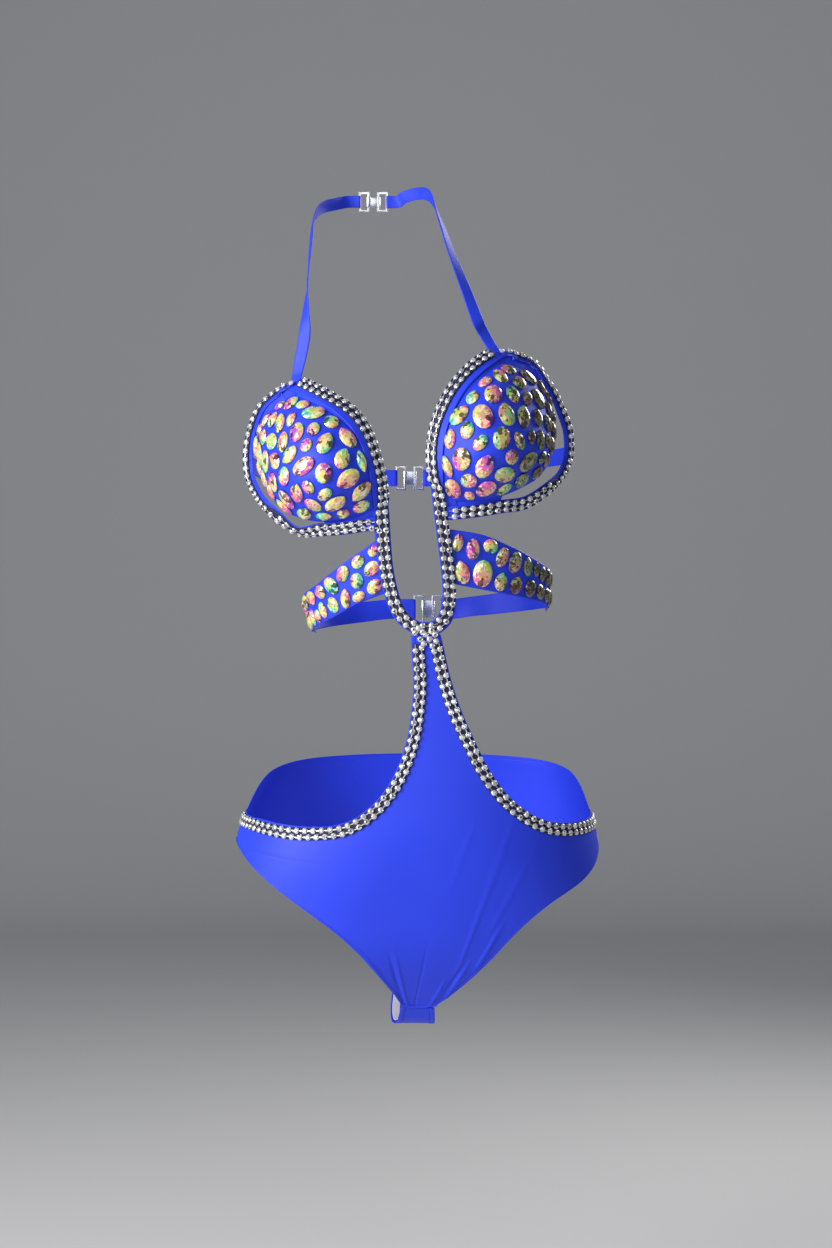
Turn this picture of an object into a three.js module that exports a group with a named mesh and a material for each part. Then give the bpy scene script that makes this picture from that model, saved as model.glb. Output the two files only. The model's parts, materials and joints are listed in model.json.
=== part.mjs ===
import * as THREE from "three";

// Millimetres, with +Z up and the front of the leotard facing -Y.
// A place on the body is a turn in degrees (0 front, 90 the side at +X, 180 back)
// and a height above the crotch.

const grade = { height: 1, girth: 1 };
const cloth = { lining: 0.6, shell: 1, foam: 3.4, gap: 0.8 };
const chain = { width: 5.6, height: 2.2, rowApart: 5 };
const crystal = { backing: 0.8, height: 3.2, span: [0.1, 0.9] };
const strap = { halter: 11, back: 15, waist: 18 };
const elastic = { width: 7, fromEdge: 5 };
const frameBand = { side: 9.5, base: 11.5 };
const clasp = { plate: 1.6, bar: 1.8, window: 6, spareHeight: 1.5, rail: 2.2, reach: 7, play: 0.55 };
const tabLength = 12;

const degrees = THREE.MathUtils.degToRad;
const layer = {
  lining: [0, cloth.lining],
  shell: [cloth.lining + cloth.gap, cloth.lining + cloth.gap + cloth.shell],
};
layer.elastic = [-cloth.lining - 0.3, -0.3];
layer.over = [layer.shell[1] + cloth.gap, layer.shell[1] + cloth.gap + cloth.shell];
layer.chain = [layer.over[1] + cloth.gap, layer.over[1] + cloth.gap + chain.height];
layer.hipChain = [layer.shell[1] + cloth.gap, layer.shell[1] + cloth.gap + chain.height];

// ---- the body the leotard is shaped to ----

const stations = [
  { height: -20, halfWidth: 163, front: 20, back: 24, shiftX: -6, shiftY: 0, roll: 0 },
  { height: 0, halfWidth: 165, front: 40, back: 44, shiftX: -5, shiftY: 0, roll: 0 },
  { height: 50, halfWidth: 168, front: 84, back: 92, shiftX: -2, shiftY: 0, roll: 0 },
  { height: 100, halfWidth: 165, front: 102, back: 108, shiftX: 0, shiftY: 0, roll: 0 },
  { height: 150, halfWidth: 155, front: 107, back: 106, shiftX: 1, shiftY: 0, roll: 0 },
  { height: 200, halfWidth: 137, front: 101, back: 92, shiftX: 4, shiftY: 0, roll: 0 },
  { height: 250, halfWidth: 112, front: 89, back: 75, shiftX: 11, shiftY: -1, roll: 0 },
  { height: 295, halfWidth: 98, front: 82, back: 70, shiftX: 15, shiftY: -2, roll: 1 },
  { height: 350, halfWidth: 103, front: 87, back: 78, shiftX: 11, shiftY: 0, roll: 4 },
  { height: 415, halfWidth: 117, front: 96, back: 92, shiftX: 2, shiftY: 2, roll: 7 },
  { height: 480, halfWidth: 126, front: 99, back: 98, shiftX: -7, shiftY: 4, roll: 8.5 },
  { height: 560, halfWidth: 134, front: 82, back: 92, shiftX: -17, shiftY: 8, roll: 9.5 },
];
const squareness = 2.35;
const breast = { apart: 76, height: 470, halfWidth: 70, above: 96, below: 43, depth: 40, fall: 1.35 };
const seat = { apart: 68, height: 82, halfWidth: 68, above: 94, below: 80, depth: 12, fall: 1.35 };

function station(height, key) {
  const last = stations.length - 1;
  let i = 0;
  while (i < last - 1 && height > stations[i + 1].height) {
    i += 1;
  }
  const slope = (j) => {
    const before = stations[Math.max(j - 1, 0)];
    const after = stations[Math.min(j + 1, last)];
    return (after[key] - before[key]) / (after.height - before.height);
  };
  const span = stations[i + 1].height - stations[i].height;
  const t = (height - stations[i].height) / span;
  const ease = t * t * (3 - 2 * t);
  return (1 - ease) * stations[i][key] + ease * stations[i + 1][key]
    + t * (1 - t) * span * ((1 - t) * slope(i) - t * slope(i + 1));
}

function swell(bulge, x, height) {
  const across = (Math.abs(x) - bulge.apart) / bulge.halfWidth;
  const rise = height - bulge.height;
  const up = rise / (rise > 0 ? bulge.above : bulge.below);
  return bulge.depth * Math.max(0, 1 - across * across - up * up) ** bulge.fall;
}

function skin(turn, height) {
  const sine = Math.sin(degrees(turn));
  const cosine = Math.cos(degrees(turn));
  const deep = station(height, cosine > 0 ? "front" : "back");
  const reach = (Math.abs(sine / station(height, "halfWidth")) ** squareness
    + Math.abs(cosine / deep) ** squareness) ** (-1 / squareness);
  let x = reach * sine;
  let y = -reach * cosine;
  if (cosine > -0.2) {
    const bust = swell(breast, x, height);
    y -= bust;
    x += Math.sign(x) * 0.12 * bust;
  } else {
    y += swell(seat, x, height);
  }
  const roll = degrees(station(height, "roll"));
  return new THREE.Vector3(
    grade.girth * (station(height, "shiftX") + x * Math.cos(roll)),
    grade.girth * (y + station(height, "shiftY")),
    grade.height * (height + x * Math.sin(roll)),
  );
}

function facing(turn, height) {
  const round = skin(turn + 0.5, height).sub(skin(turn - 0.5, height));
  const up = skin(turn, height + 1).sub(skin(turn, height - 1));
  return round.cross(up).normalize();
}

const at = ([turn, height], lift) => skin(turn, height).addScaledVector(facing(turn, height), lift);
const stop = (turn, height, lift = 0) => ({
  point: at([turn, height], lift),
  normal: facing(turn, height),
});

// ---- ways to lay out cloth ----

const turnLength = 1.8;

function line(...places) {
  const curve = new THREE.SplineCurve(
    places.map(([turn, height]) => new THREE.Vector2(turn * turnLength, height)),
  );
  return (t) => {
    const point = curve.getPointAt(Math.min(Math.max(t, 0), 1));
    return [point.x / turnLength, point.y];
  };
}

function paced(...places) {
  const curve = new THREE.SplineCurve(places.map((place) => new THREE.Vector2(...place)));
  return (t) => curve.getPoint(Math.min(Math.max(t, 0), 1)).toArray();
}

function joined(...pieces) {
  return (t) => {
    let start = 0;
    for (const [share, piece] of pieces.slice(0, -1)) {
      if (t < start + share) {
        return piece((t - start) / share);
      }
      start += share;
    }
    const [share, piece] = pieces[pieces.length - 1];
    return piece((t - start) / share);
  };
}

const mirrored = (path) => (t) => {
  const [turn, height] = path(1 - t);
  return [360 - turn, height];
};

function between(low, high) {
  return (u, v) => low(u).map((value, i) => value + (high(u)[i] - value) * v);
}

function panelOf({ bottom, top, left, right }) {
  return (u, v) => [0, 1].map((i) => (1 - v) * bottom(u)[i] + v * top(u)[i]
    + (1 - u) * left(v)[i] + u * right(v)[i]
    - (1 - u) * ((1 - v) * bottom(0)[i] + v * top(0)[i])
    - u * ((1 - v) * bottom(1)[i] + v * top(1)[i]));
}

const within = (panel, [left, right], [bottom, top]) => (u, v) =>
  panel(left + (right - left) * u, bottom + (top - bottom) * v);

function aside(path, t, distance) {
  const step = 0.004;
  const from = path(Math.max(t - step, 0));
  const to = path(Math.min(t + step, 1));
  const [turn, height] = path(t);
  const perTurn = skin(turn + 0.5, height).distanceTo(skin(turn - 0.5, height));
  const perHeight = skin(turn, height + 0.5).distanceTo(skin(turn, height - 0.5));
  const along = [(to[0] - from[0]) * perTurn, (to[1] - from[1]) * perHeight];
  const length = Math.hypot(...along);
  return [
    turn - (along[1] / length) * (distance / perTurn),
    height + (along[0] / length) * (distance / perHeight),
  ];
}

// ---- solids ----

const group = new THREE.Group();
const finish = {
  shell: new THREE.MeshStandardMaterial({ color: "#2540e8", roughness: 0.62 }),
  lining: new THREE.MeshStandardMaterial({ color: "#2b3fc4", roughness: 0.8 }),
  foam: new THREE.MeshStandardMaterial({ color: "#e9e6df", roughness: 0.9 }),
  elastic: new THREE.MeshStandardMaterial({ color: "#f2f2f0", roughness: 0.85 }),
  crystal: new THREE.MeshStandardMaterial({ color: "#bfe3d6", roughness: 0.12, metalness: 0.4 }),
  silver: new THREE.MeshStandardMaterial({ color: "#c9ccd2", roughness: 0.2, metalness: 1 }),
};

function add(name, geometry, material) {
  const corner = geometry.attributes.position;
  const index = geometry.index;
  const [a, b, c] = [0, 1, 2].map(() => new THREE.Vector3());
  let volume = 0;
  const count = index ? index.count : corner.count;
  for (let i = 0; i < count; i += 3) {
    [a, b, c].forEach((point, k) => {
      point.fromBufferAttribute(corner, index ? index.getX(i + k) : i + k);
    });
    volume += a.dot(b.cross(c));
  }
  if (volume < 0) {
    for (let i = 0; i < count; i += 3) {
      if (index) {
        const first = index.getX(i);
        index.setX(i, index.getX(i + 1));
        index.setX(i + 1, first);
      } else {
        a.fromBufferAttribute(corner, i);
        b.fromBufferAttribute(corner, i + 1);
        corner.setXYZ(i, b.x, b.y, b.z);
        corner.setXYZ(i + 1, a.x, a.y, a.z);
      }
    }
  }
  geometry.computeVertexNormals();
  const mesh = new THREE.Mesh(geometry, material);
  mesh.name = name;
  group.add(mesh);
}

function sheet(name, material, [across, along], place, [low, high]) {
  const geometry = new THREE.BoxGeometry(1, 1, 1, across, along, 1);
  const corner = geometry.attributes.position;
  for (let i = 0; i < corner.count; i += 1) {
    const u = Math.round((corner.getX(i) + 0.5) * across) / across;
    const v = Math.round((corner.getY(i) + 0.5) * along) / along;
    const lift = corner.getZ(i) > 0 ? high : low;
    const point = place(u, v, typeof lift === "function" ? lift(u, v) : lift);
    corner.setXYZ(i, point.x, point.y, point.z);
  }
  add(name, geometry, material);
}

const onBody = (panel) => (u, v, lift) => at(panel(u, v), lift);

function studs([across, along], base, height) {
  return (u, v) => base(u, v)
    + (Math.round(u * across) % 2 && Math.round(v * along) % 2 ? height : 0);
}

function ribbonOf(stops, width, shift = 0) {
  const points = new THREE.CatmullRomCurve3(stops.map(({ point }) => point));
  const normals = new THREE.CatmullRomCurve3(stops.map(({ normal }) => normal));
  return (u, v, lift) => {
    const t = points.getUtoTmapping(u);
    const normal = normals.getPoint(t);
    const along = points.getTangent(t);
    const sideways = new THREE.Vector3().crossVectors(normal, along).normalize();
    const out = new THREE.Vector3().crossVectors(along, sideways).normalize();
    const wide = typeof width === "function" ? width(u) : width;
    const beside = typeof shift === "function" ? shift(u) : shift;
    return points.getPoint(t)
      .addScaledVector(sideways, beside + wide * (v - 0.5))
      .addScaledVector(out, lift);
  };
}

// ---- outlines ----

const sideSeam = { turn: 90, gap: 0.3, leg: 150, hip: 170 };
const legLeft = line([-sideSeam.turn, sideSeam.leg], [-75, 140], [-63, 123], [-45, 91], [-31, 63],
  [-19, 30], [-10, 9]);
const legRight = line([25, 9], [32, 22], [37, 43], [44, 73], [54, 98], [67, 117], [79, 135],
  [sideSeam.turn, sideSeam.leg]);
const crotchSeam = line([-10, 9], [-2, 7.5], [8, 7], [17, 7.5], [25, 9]);
const cutLeft = line([-sideSeam.turn, sideSeam.hip], [-71, 168], [-55, 164], [-44, 163.5], [-31, 168],
  [-20, 185], [-13, 209], [-10.5, 238], [-11, 270], [-12.5, 304], [-12, 326]);
const cutRight = line([5, 326], [9, 294], [15, 268], [24, 237], [33, 206], [42, 183], [53, 168],
  [67, 165], [sideSeam.turn, sideSeam.hip]);
const stripTop = line([-12, 326], [-3.5, 327], [5, 326]);
const legBack = line([sideSeam.turn + sideSeam.gap, sideSeam.leg], [101, 141], [115, 124], [133, 95], [147, 66],
  [157, 38], [163, 13]);
const backSeam = line([163, 13], [172, 11.5], [180, 11], [188, 11.5], [197, 13]);
const hipBack = line([sideSeam.turn + sideSeam.gap, sideSeam.hip], [94, 186], [101, 201], [118, 211], [145, 215],
  [180, 216]);
const plunge = line([-47, 556], [-34, 538], [-23, 521], [-16, 500], [-12.5, 470], [-12.5, 440],
  [-14, 412], [-15.5, 383], [-14.5, 357], [-10, 342], [-3.5, 337.5], [3, 340], [7.5, 355], [8.5, 379],
  [8.5, 408], [8.5, 440], [9, 470], [12, 493], [18, 513], [26, 530], [36, 544], [46, 554]);
const yokeEdge = line([-54, 548], [-40, 531], [-30, 515], [-22.5, 495], [-19, 468], [-20, 438],
  [-21.5, 412], [-23, 383], [-22, 356], [-17, 336], [-3.5, 324], [10, 333], [14.5, 352], [14.5, 379],
  [15, 408], [15, 440], [16, 468], [19, 488], [25, 507], [33, 523], [43, 536], [53, 546]);

const frontCells = [26, 36];
const seamShare = 2 / frontCells[1];
const legShare = 14 / frontCells[1];
const cutShare = 1 - legShare - seamShare;
const backwards = (path) => (t) => path(1 - t);
const frontLeft = joined(
  [legShare, backwards(legLeft)],
  [seamShare, line([-sideSeam.turn, sideSeam.leg], [-sideSeam.turn, sideSeam.hip])],
  [cutShare, cutLeft],
);
const frontRight = joined(
  [legShare, legRight],
  [seamShare, line([sideSeam.turn, sideSeam.leg], [sideSeam.turn, sideSeam.hip])],
  [cutShare, backwards(cutRight)],
);
const frontCentre = joined(
  [legShare, paced([7.5, 7], [7, 44], [6, 78], [4, 108], [3, 130])],
  [seamShare, line([3, 130], [3, 141])],
  [cutShare, paced([3, 141], [3, 151], [3, 163], [2, 181], [1, 206], [-2, 242], [-3, 284], [-3.5, 327])],
);
function frontPanel(across, v) {
  const u = across - 0.05 * Math.sin(2 * Math.PI * across);
  const [from, to, centre] = [frontLeft, frontRight, frontCentre].map((path) => path(v));
  const bow = 4 * u * (1 - u);
  return [0, 1].map((i) => from[i] + (to[i] - from[i]) * u
    + bow * (centre[i] - (from[i] + to[i]) / 2));
}
const middle = 4 / 28;
const side = (1 - middle) / 2;
const backPanel = between(
  joined([side, legBack], [middle, backSeam], [side, mirrored(legBack)]),
  joined([0.5, hipBack], [0.5, mirrored(hipBack)]),
);
const cups = {
  left: panelOf({
    bottom: line([-59, 444], [-47, 435], [-33, 432], [-20, 433]),
    top: line([-54.5, 541], [-51, 543]),
    left: line([-59, 444], [-68, 459], [-77, 484], [-79, 506], [-74, 520], [-65, 531], [-54.5, 541]),
    right: line([-20, 433], [-19, 446], [-18, 468], [-21, 493], [-29, 512], [-39, 527.5], [-51, 543]),
  }),
  right: panelOf({
    bottom: line([15, 433], [28, 432], [43, 436], [57, 444]),
    top: line([50, 541], [53.5, 539.5]),
    left: line([15, 433], [14.5, 446], [14.5, 468], [17.5, 488], [23.5, 505], [32, 519.5], [50, 541]),
    right: line([57, 444], [67, 456], [76, 476], [78, 497], [73, 514], [64, 528], [53.5, 539.5]),
  }),
};
const bands = {
  left: between(
    line([-96, 333], [-75, 338], [-54, 346], [-37, 357], [-18, 366]),
    line([-96, 364], [-75, 371], [-57, 379], [-36, 397], [-15, 416]),
  ),
  right: between(
    line([10, 369], [28, 361], [51, 352], [75, 345], [96, 340]),
    line([10, 414], [30, 405], [45, 393], [66, 378], [96, 369]),
  ),
};

// ---- brief ----

sheet("front_panel", finish.shell, frontCells, onBody(frontPanel), layer.shell);
sheet("back_panel", finish.shell, [28, 14], onBody(backPanel), layer.shell);

const liningPanel = panelOf({
  bottom: line([1, 8], [14, 8]),
  top: line([-34, 128], [0, 122], [36, 128]),
  left: line([1, 8], [-6, 35], [-17, 66], [-34, 128]),
  right: line([14, 8], [22, 35], [29, 66], [36, 128]),
});
sheet("front_lining", finish.lining, [10, 12], onBody(liningPanel), layer.lining);

const gusset = [
  { point: at([7.5, 6.5], 0), normal: facing(7.5, 6.5) },
  { point: new THREE.Vector3(0, -31, -7), normal: new THREE.Vector3(0, -0.5, -0.87) },
  { point: new THREE.Vector3(-2, -10, -12), normal: new THREE.Vector3(0, -0.12, -0.99) },
  { point: new THREE.Vector3(-4, 14, -11.5), normal: new THREE.Vector3(0, 0.15, -0.99) },
  { point: new THREE.Vector3(-5, 35, -3), normal: new THREE.Vector3(0, 0.5, -0.87) },
  { point: at([180, 10.2], 0), normal: facing(180, 10.2) },
];
gusset.slice(1, -1).forEach(({ point }) => {
  point.multiply(new THREE.Vector3(grade.girth, grade.girth, grade.height));
});
const gussetWidth = (t) => grade.girth * (29 + 6 * Math.sin(Math.PI * t) + 3 * t);
sheet("gusset", finish.shell, [14, 6], ribbonOf(gusset, gussetWidth), layer.shell);
sheet("gusset_lining", finish.lining, [14, 4],
  ribbonOf(gusset, (t) => gussetWidth(t) - 2 * (elastic.fromEdge + elastic.width / 2 + 1)), layer.lining);

function legElastic(mirror) {
  const inset = elastic.fromEdge;
  const count = 14;
  const stops = [];
  for (let i = 0; i < count; i += 1) {
    const t = 0.01 + 0.98 * (i / (count - 1));
    stops.push(mirror > 0 ? stop(...aside(legRight, 1 - t, inset)) : stop(...aside(legLeft, t, inset)));
  }
  for (const t of [0.12, 0.3, 0.5, 0.7, 0.88]) {
    const crossing = ribbonOf(gusset, gussetWidth);
    const edge = gussetWidth(t) / 2 - inset;
    const v = 0.5 + (mirror * edge) / gussetWidth(t);
    const point = crossing(t, v, 0);
    stops.push({ point, normal: crossing(t, v, 1).sub(point) });
  }
  for (let i = 0; i < count; i += 1) {
    const t = 0.99 - 0.98 * (i / (count - 1));
    const [turn, height] = aside(legBack, t, inset);
    stops.push(stop(mirror > 0 ? turn : 360 - turn, height));
  }
  return ribbonOf(stops, elastic.width);
}
sheet("left_leg_elastic", finish.elastic, [72, 1], legElastic(-1), layer.elastic);
sheet("right_leg_elastic", finish.elastic, [72, 1], legElastic(1), layer.elastic);

// ---- cups, frames and underbust bands ----

const tuck = 0.05;
const inFrom = (t) => Math.max(0, Math.min(t - tuck, 1 - tuck - t, 0.22)) / 0.22;
const softEdge = (u, v) => (inFrom(u) * inFrom(v)) ** 0.7;
const cupRise = (u, v) => (cloth.foam + cloth.gap) * softEdge(u, v);
const cupCells = [12, 14];
function inset(cells) {
  const [u, v] = [cells / cupCells[0], cells / cupCells[1]];
  return {
    cells: cupCells.map((count) => count - 2 * cells),
    of: (panel) => within(panel, [u, 1 - u], [v, 1 - v]),
    rise: (s, t) => cupRise(u + (1 - 2 * u) * s, v + (1 - 2 * v) * t),
  };
}
for (const [hand, panel] of Object.entries(cups)) {
  const foam = inset(2);
  const cover = inset(1);
  const lift = (base) => (u, v) => base + cover.rise(u, v);
  sheet(`${hand}_cup_shell`, finish.shell, cupCells, onBody(panel),
    layer.shell.map((base) => (u, v) => base + cupRise(u, v)));
  sheet(`${hand}_cup_foam`, finish.foam, foam.cells, onBody(foam.of(panel)),
    [layer.shell[0], (u, v) => layer.shell[0] - cloth.gap + foam.rise(u, v)]);
  sheet(`${hand}_cup_lining`, finish.lining, cover.cells, onBody(cover.of(panel)), layer.lining);
  const under = layer.shell[1] + cloth.gap;
  sheet(`${hand}_cup_crystals`, finish.crystal, cover.cells, onBody(cover.of(panel)), [
    lift(under),
    studs(cover.cells, lift(under + crystal.backing), crystal.height),
  ]);
}
for (const [hand, panel] of Object.entries(bands)) {
  sheet(`${hand}_underbust_band`, finish.shell, [16, 4], onBody(panel), layer.shell);
  const cells = [18, 6];
  const surface = layer.shell[1] + cloth.gap;
  sheet(`${hand}_band_crystals`, finish.crystal, cells, onBody(within(panel, crystal.span, [0.08, 0.92])), [
    surface,
    studs(cells, () => surface + crystal.backing, crystal.height),
  ]);
}

const vec = (x, y, z) => new THREE.Vector3(x * grade.girth, y * grade.girth, z * grade.height);
const outward = (x, y, z) => new THREE.Vector3(x, y, z).normalize();
const frameStops = {
  left: [stop(-57, 548, layer.over[0] + 0.6), stop(-61.5, 544.3, layer.over[0] + 0.9),
    { point: vec(-132, -53, 521), normal: outward(-0.75, -0.65, 0.1) },
    { point: vec(-142, -38, 501), normal: outward(-0.5, -0.86, 0) },
    { point: vec(-145.5, -31, 483), normal: outward(-0.35, -0.93, 0) },
    { point: vec(-144.5, -32, 466), normal: outward(-0.35, -0.93, 0) },
    { point: vec(-137, -47, 449), normal: outward(-0.45, -0.88, -0.1) },
    { point: vec(-124, -67, 433), normal: outward(-0.5, -0.84, -0.2) },
    stop(-56, 433, layer.over[0] + 3.6), stop(-45, 426.5, layer.over[0] + 1.6),
    stop(-34, 424.5, layer.over[0] + 0.9), stop(-24.5, 424.5, layer.over[0] + 0.6)],
  right: [stop(56, 546, layer.over[0] + 0.6), stop(64.5, 538, layer.over[0] + 1.2),
    { point: vec(115, -54, 536.5), normal: outward(0.75, -0.65, 0.1) },
    { point: vec(125, -37, 519), normal: outward(0.5, -0.86, 0) },
    { point: vec(131.5, -31, 502), normal: outward(0.35, -0.93, 0) },
    { point: vec(132, -32, 482), normal: outward(0.35, -0.93, 0) },
    { point: vec(125.5, -45, 465), normal: outward(0.45, -0.88, -0.1) },
    { point: at([61, 439], layer.over[0] + 5.2), normal: outward(0.5, -0.85, -0.2) },
    { point: at([51, 430], layer.over[0] + 3), normal: outward(0.42, -0.9, -0.15) },
    stop(40, 425.5, layer.over[0] + 1.4), stop(29, 424.5, layer.over[0] + 0.9),
    stop(20.5, 424.5, layer.over[0] + 0.6)],
};
const baseShare = (u) => THREE.MathUtils.smoothstep(u, 0.56, 0.66);
const frameWidth = (u) => frameBand.side + (frameBand.base - frameBand.side) * baseShare(u);
const rimChain = (u) => chain.width + chain.rowApart * baseShare(u);
// On a slimmer body the frame keeps its width, so it moves out to stay clear of the cup.
const slimmer = (u) => 0.6 * frameWidth(u) * (1 - grade.girth);
for (const [hand, sign] of [["left", 1], ["right", -1]]) {
  sheet(`${hand}_cup_frame`, finish.shell, [48, 1],
    ribbonOf(frameStops[hand], frameWidth, (u) => -sign * slimmer(u)), [0, cloth.shell]);
  const rim = (u) => -sign * ((frameWidth(u) - rimChain(u) - 0.4) / 2 + slimmer(u));
  sheet(`${hand}_cup_chain`, finish.silver, [48, 1], ribbonOf(frameStops[hand], rimChain, rim),
    [cloth.shell + cloth.gap, cloth.shell + cloth.gap + chain.height]);
}

// ---- yoke and its chain ----

const yoke = between(plunge, yokeEdge);
sheet("plunge_yoke", finish.shell, [72, 2], onBody(yoke), layer.over);
const yokeChain = (u, v, lift) => {
  const sideways = aside(plunge, u, -(0.6 + (chain.width + chain.rowApart) * v));
  return at(sideways, lift);
};
sheet("plunge_chain", finish.silver, [72, 1], yokeChain, layer.chain);

// ---- hip chains ----

const chainInset = 0.8;
const chainRoom = 2 * (chainInset + chain.width + chain.rowApart) + cloth.gap;
const stripWidth = (t) => at(cutLeft(t), 0).distanceTo(at(cutRight(1 - t), 0));
let chainTop = 0.975;
while (chainTop > 0.5 && stripWidth(chainTop) < chainRoom) {
  chainTop -= 0.005;
}
function hipChain(path, from, to) {
  return (u, v, lift) => at(aside(path, from + (to - from) * u,
    -(chainInset + (chain.width + chain.rowApart) * v)), lift);
}
sheet("left_hip_chain", finish.silver, [34, 1], hipChain(cutLeft, 0.01, chainTop), layer.hipChain);
sheet("right_hip_chain", finish.silver, [34, 1], hipChain(cutRight, 1.005 - chainTop, 0.99), layer.hipChain);

// ---- clasps ----

const pivotAt = clasp.plate / 2;
const curl = { inner: 1.35, outer: 2.15 };

function claspFrame(origin, toRing) {
  const out = new THREE.Vector3(0, 1, 0);
  const up = new THREE.Vector3(0, 0, 1);
  const along = new THREE.Vector3(toRing, 0, 0);
  return {
    matrix: new THREE.Matrix4().makeBasis(along, up, out).setPosition(origin),
    point: (a, u, o) => new THREE.Vector3(a, u, o)
      .applyMatrix4(new THREE.Matrix4().makeBasis(along, up, out).setPosition(origin)),
    out,
  };
}

function ring(name, frame, near, width) {
  const half = width / 2 + clasp.spareHeight;
  const far = near + 2 * clasp.bar + clasp.window;
  const outline = new THREE.Shape();
  outline.moveTo(near, -half - clasp.rail);
  outline.lineTo(far, -half - clasp.rail);
  outline.lineTo(far, half + clasp.rail);
  outline.lineTo(near, half + clasp.rail);
  outline.closePath();
  const hole = new THREE.Path();
  hole.moveTo(near + clasp.bar, -half);
  hole.lineTo(near + clasp.bar, half);
  hole.lineTo(far - clasp.bar, half);
  hole.lineTo(far - clasp.bar, -half);
  hole.closePath();
  outline.holes.push(hole);
  const geometry = new THREE.ExtrudeGeometry(outline, { depth: clasp.plate, bevelEnabled: false });
  add(name, geometry.applyMatrix4(frame.matrix), finish.silver);
}

function hook(name, frame, width) {
  const thick = curl.outer - curl.inner;
  const eyeBar = clasp.bar / 2 + clasp.reach;
  const inside = eyeBar + clasp.bar + clasp.play;
  const outline = new THREE.Shape();
  const steps = 14;
  const turnAt = (i) => Math.PI / 2 + (i / steps) * degrees(285);
  outline.moveTo(inside + thick, pivotAt + curl.outer);
  for (let i = 0; i <= steps; i += 1) {
    outline.lineTo(curl.outer * Math.cos(turnAt(i)), pivotAt + curl.outer * Math.sin(turnAt(i)));
  }
  for (let i = steps; i >= 0; i -= 1) {
    outline.lineTo(curl.inner * Math.cos(turnAt(i)), pivotAt + curl.inner * Math.sin(turnAt(i)));
  }
  outline.lineTo(inside, pivotAt + curl.inner);
  outline.lineTo(inside, -1);
  outline.lineTo(inside + thick, -1);
  outline.closePath();
  const tall = width - 2;
  const geometry = new THREE.ExtrudeGeometry(outline, { depth: tall, bevelEnabled: false });
  geometry.rotateX(Math.PI / 2);
  geometry.translate(0, tall / 2, 0);
  add(name, geometry.applyMatrix4(frame.matrix), finish.silver);
}

const claspStart = -clasp.bar / 2 - clasp.window - clasp.bar;
const claspEnd = clasp.bar / 2 + clasp.reach + 2 * clasp.bar + clasp.window;

function claspSet(name, frame, width) {
  ring(`${name}_bar_ring`, frame, claspStart, width);
  ring(`${name}_eye_ring`, frame, clasp.bar / 2 + clasp.reach, width);
  hook(`${name}_hook`, frame, width);
}
const strapUnder = -cloth.gap - cloth.shell / 2;
const hookStops = (frame) => [
  { point: frame.point(claspStart - 9, 0, strapUnder), normal: frame.out },
  { point: frame.point(claspStart + clasp.bar - 0.2, 0, strapUnder), normal: frame.out },
];
const eyeStops = (frame) => [
  { point: frame.point(claspEnd + 9, 0, strapUnder), normal: frame.out },
  { point: frame.point(claspEnd - clasp.bar + 0.2, 0, strapUnder), normal: frame.out },
];
const halfCloth = [-cloth.shell / 2, cloth.shell / 2];

const claspCentre = (turn, height, lift) => {
  const point = at([turn, height], lift);
  point.x -= (claspStart + claspEnd) / 2;
  return point;
};
const backClasp = claspFrame(claspCentre(180, 470, 6), 1);
const waistClasp = claspFrame(claspCentre(180, 350, 6), 1);
const neckClasp = claspFrame(vec(-43, 57, 716), 1);
claspSet("back", backClasp, strap.back);
claspSet("waist", waistClasp, strap.waist);
claspSet("neck", neckClasp, strap.halter);

// ---- straps ----

sheet("left_back_strap", finish.shell, [22, 1], ribbonOf([
  { point: vec(-145, -30.2, 474), normal: outward(-1, 0.1, 0) },
  { point: vec(-143.5, 0, 474), normal: outward(-1, 0.25, 0) },
  stop(-113, 486, 4),
  stop(-135, 482, 3.5),
  stop(-155, 476, 4),
  ...hookStops(backClasp),
], strap.back), halfCloth);
sheet("right_back_strap", finish.shell, [22, 1], ribbonOf([
  { point: vec(131.7, -30.8, 484), normal: outward(1, 0.1, 0) },
  { point: vec(131, -2, 483), normal: outward(1, 0.25, 0) },
  stop(113, 466, 4),
  stop(135, 463, 3.5),
  stop(153, 466, 4),
  ...eyeStops(backClasp),
], strap.back), halfCloth);
const waistLift = (layer.over[0] + layer.over[1]) / 2;
sheet("left_waist_strap", finish.shell, [20, 1], ribbonOf([
  stop(-91, 348.5, waistLift),
  stop(-100, 349, waistLift),
  stop(-118, 350, waistLift + 0.5),
  stop(-138, 351, waistLift + 0.5),
  stop(-156, 352, waistLift + 0.5),
  ...hookStops(waistClasp),
], (t) => strap.waist + 8 * (1 - t) ** 2), halfCloth);
sheet("right_waist_strap", finish.shell, [20, 1], ribbonOf([
  stop(91, 354.5, waistLift),
  stop(100, 354, waistLift),
  stop(118, 352, waistLift + 0.5),
  stop(138, 350, waistLift + 0.5),
  stop(154, 349, waistLift + 0.5),
  ...eyeStops(waistClasp),
], (t) => strap.waist + 8 * (1 - t) ** 2), halfCloth);

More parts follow.
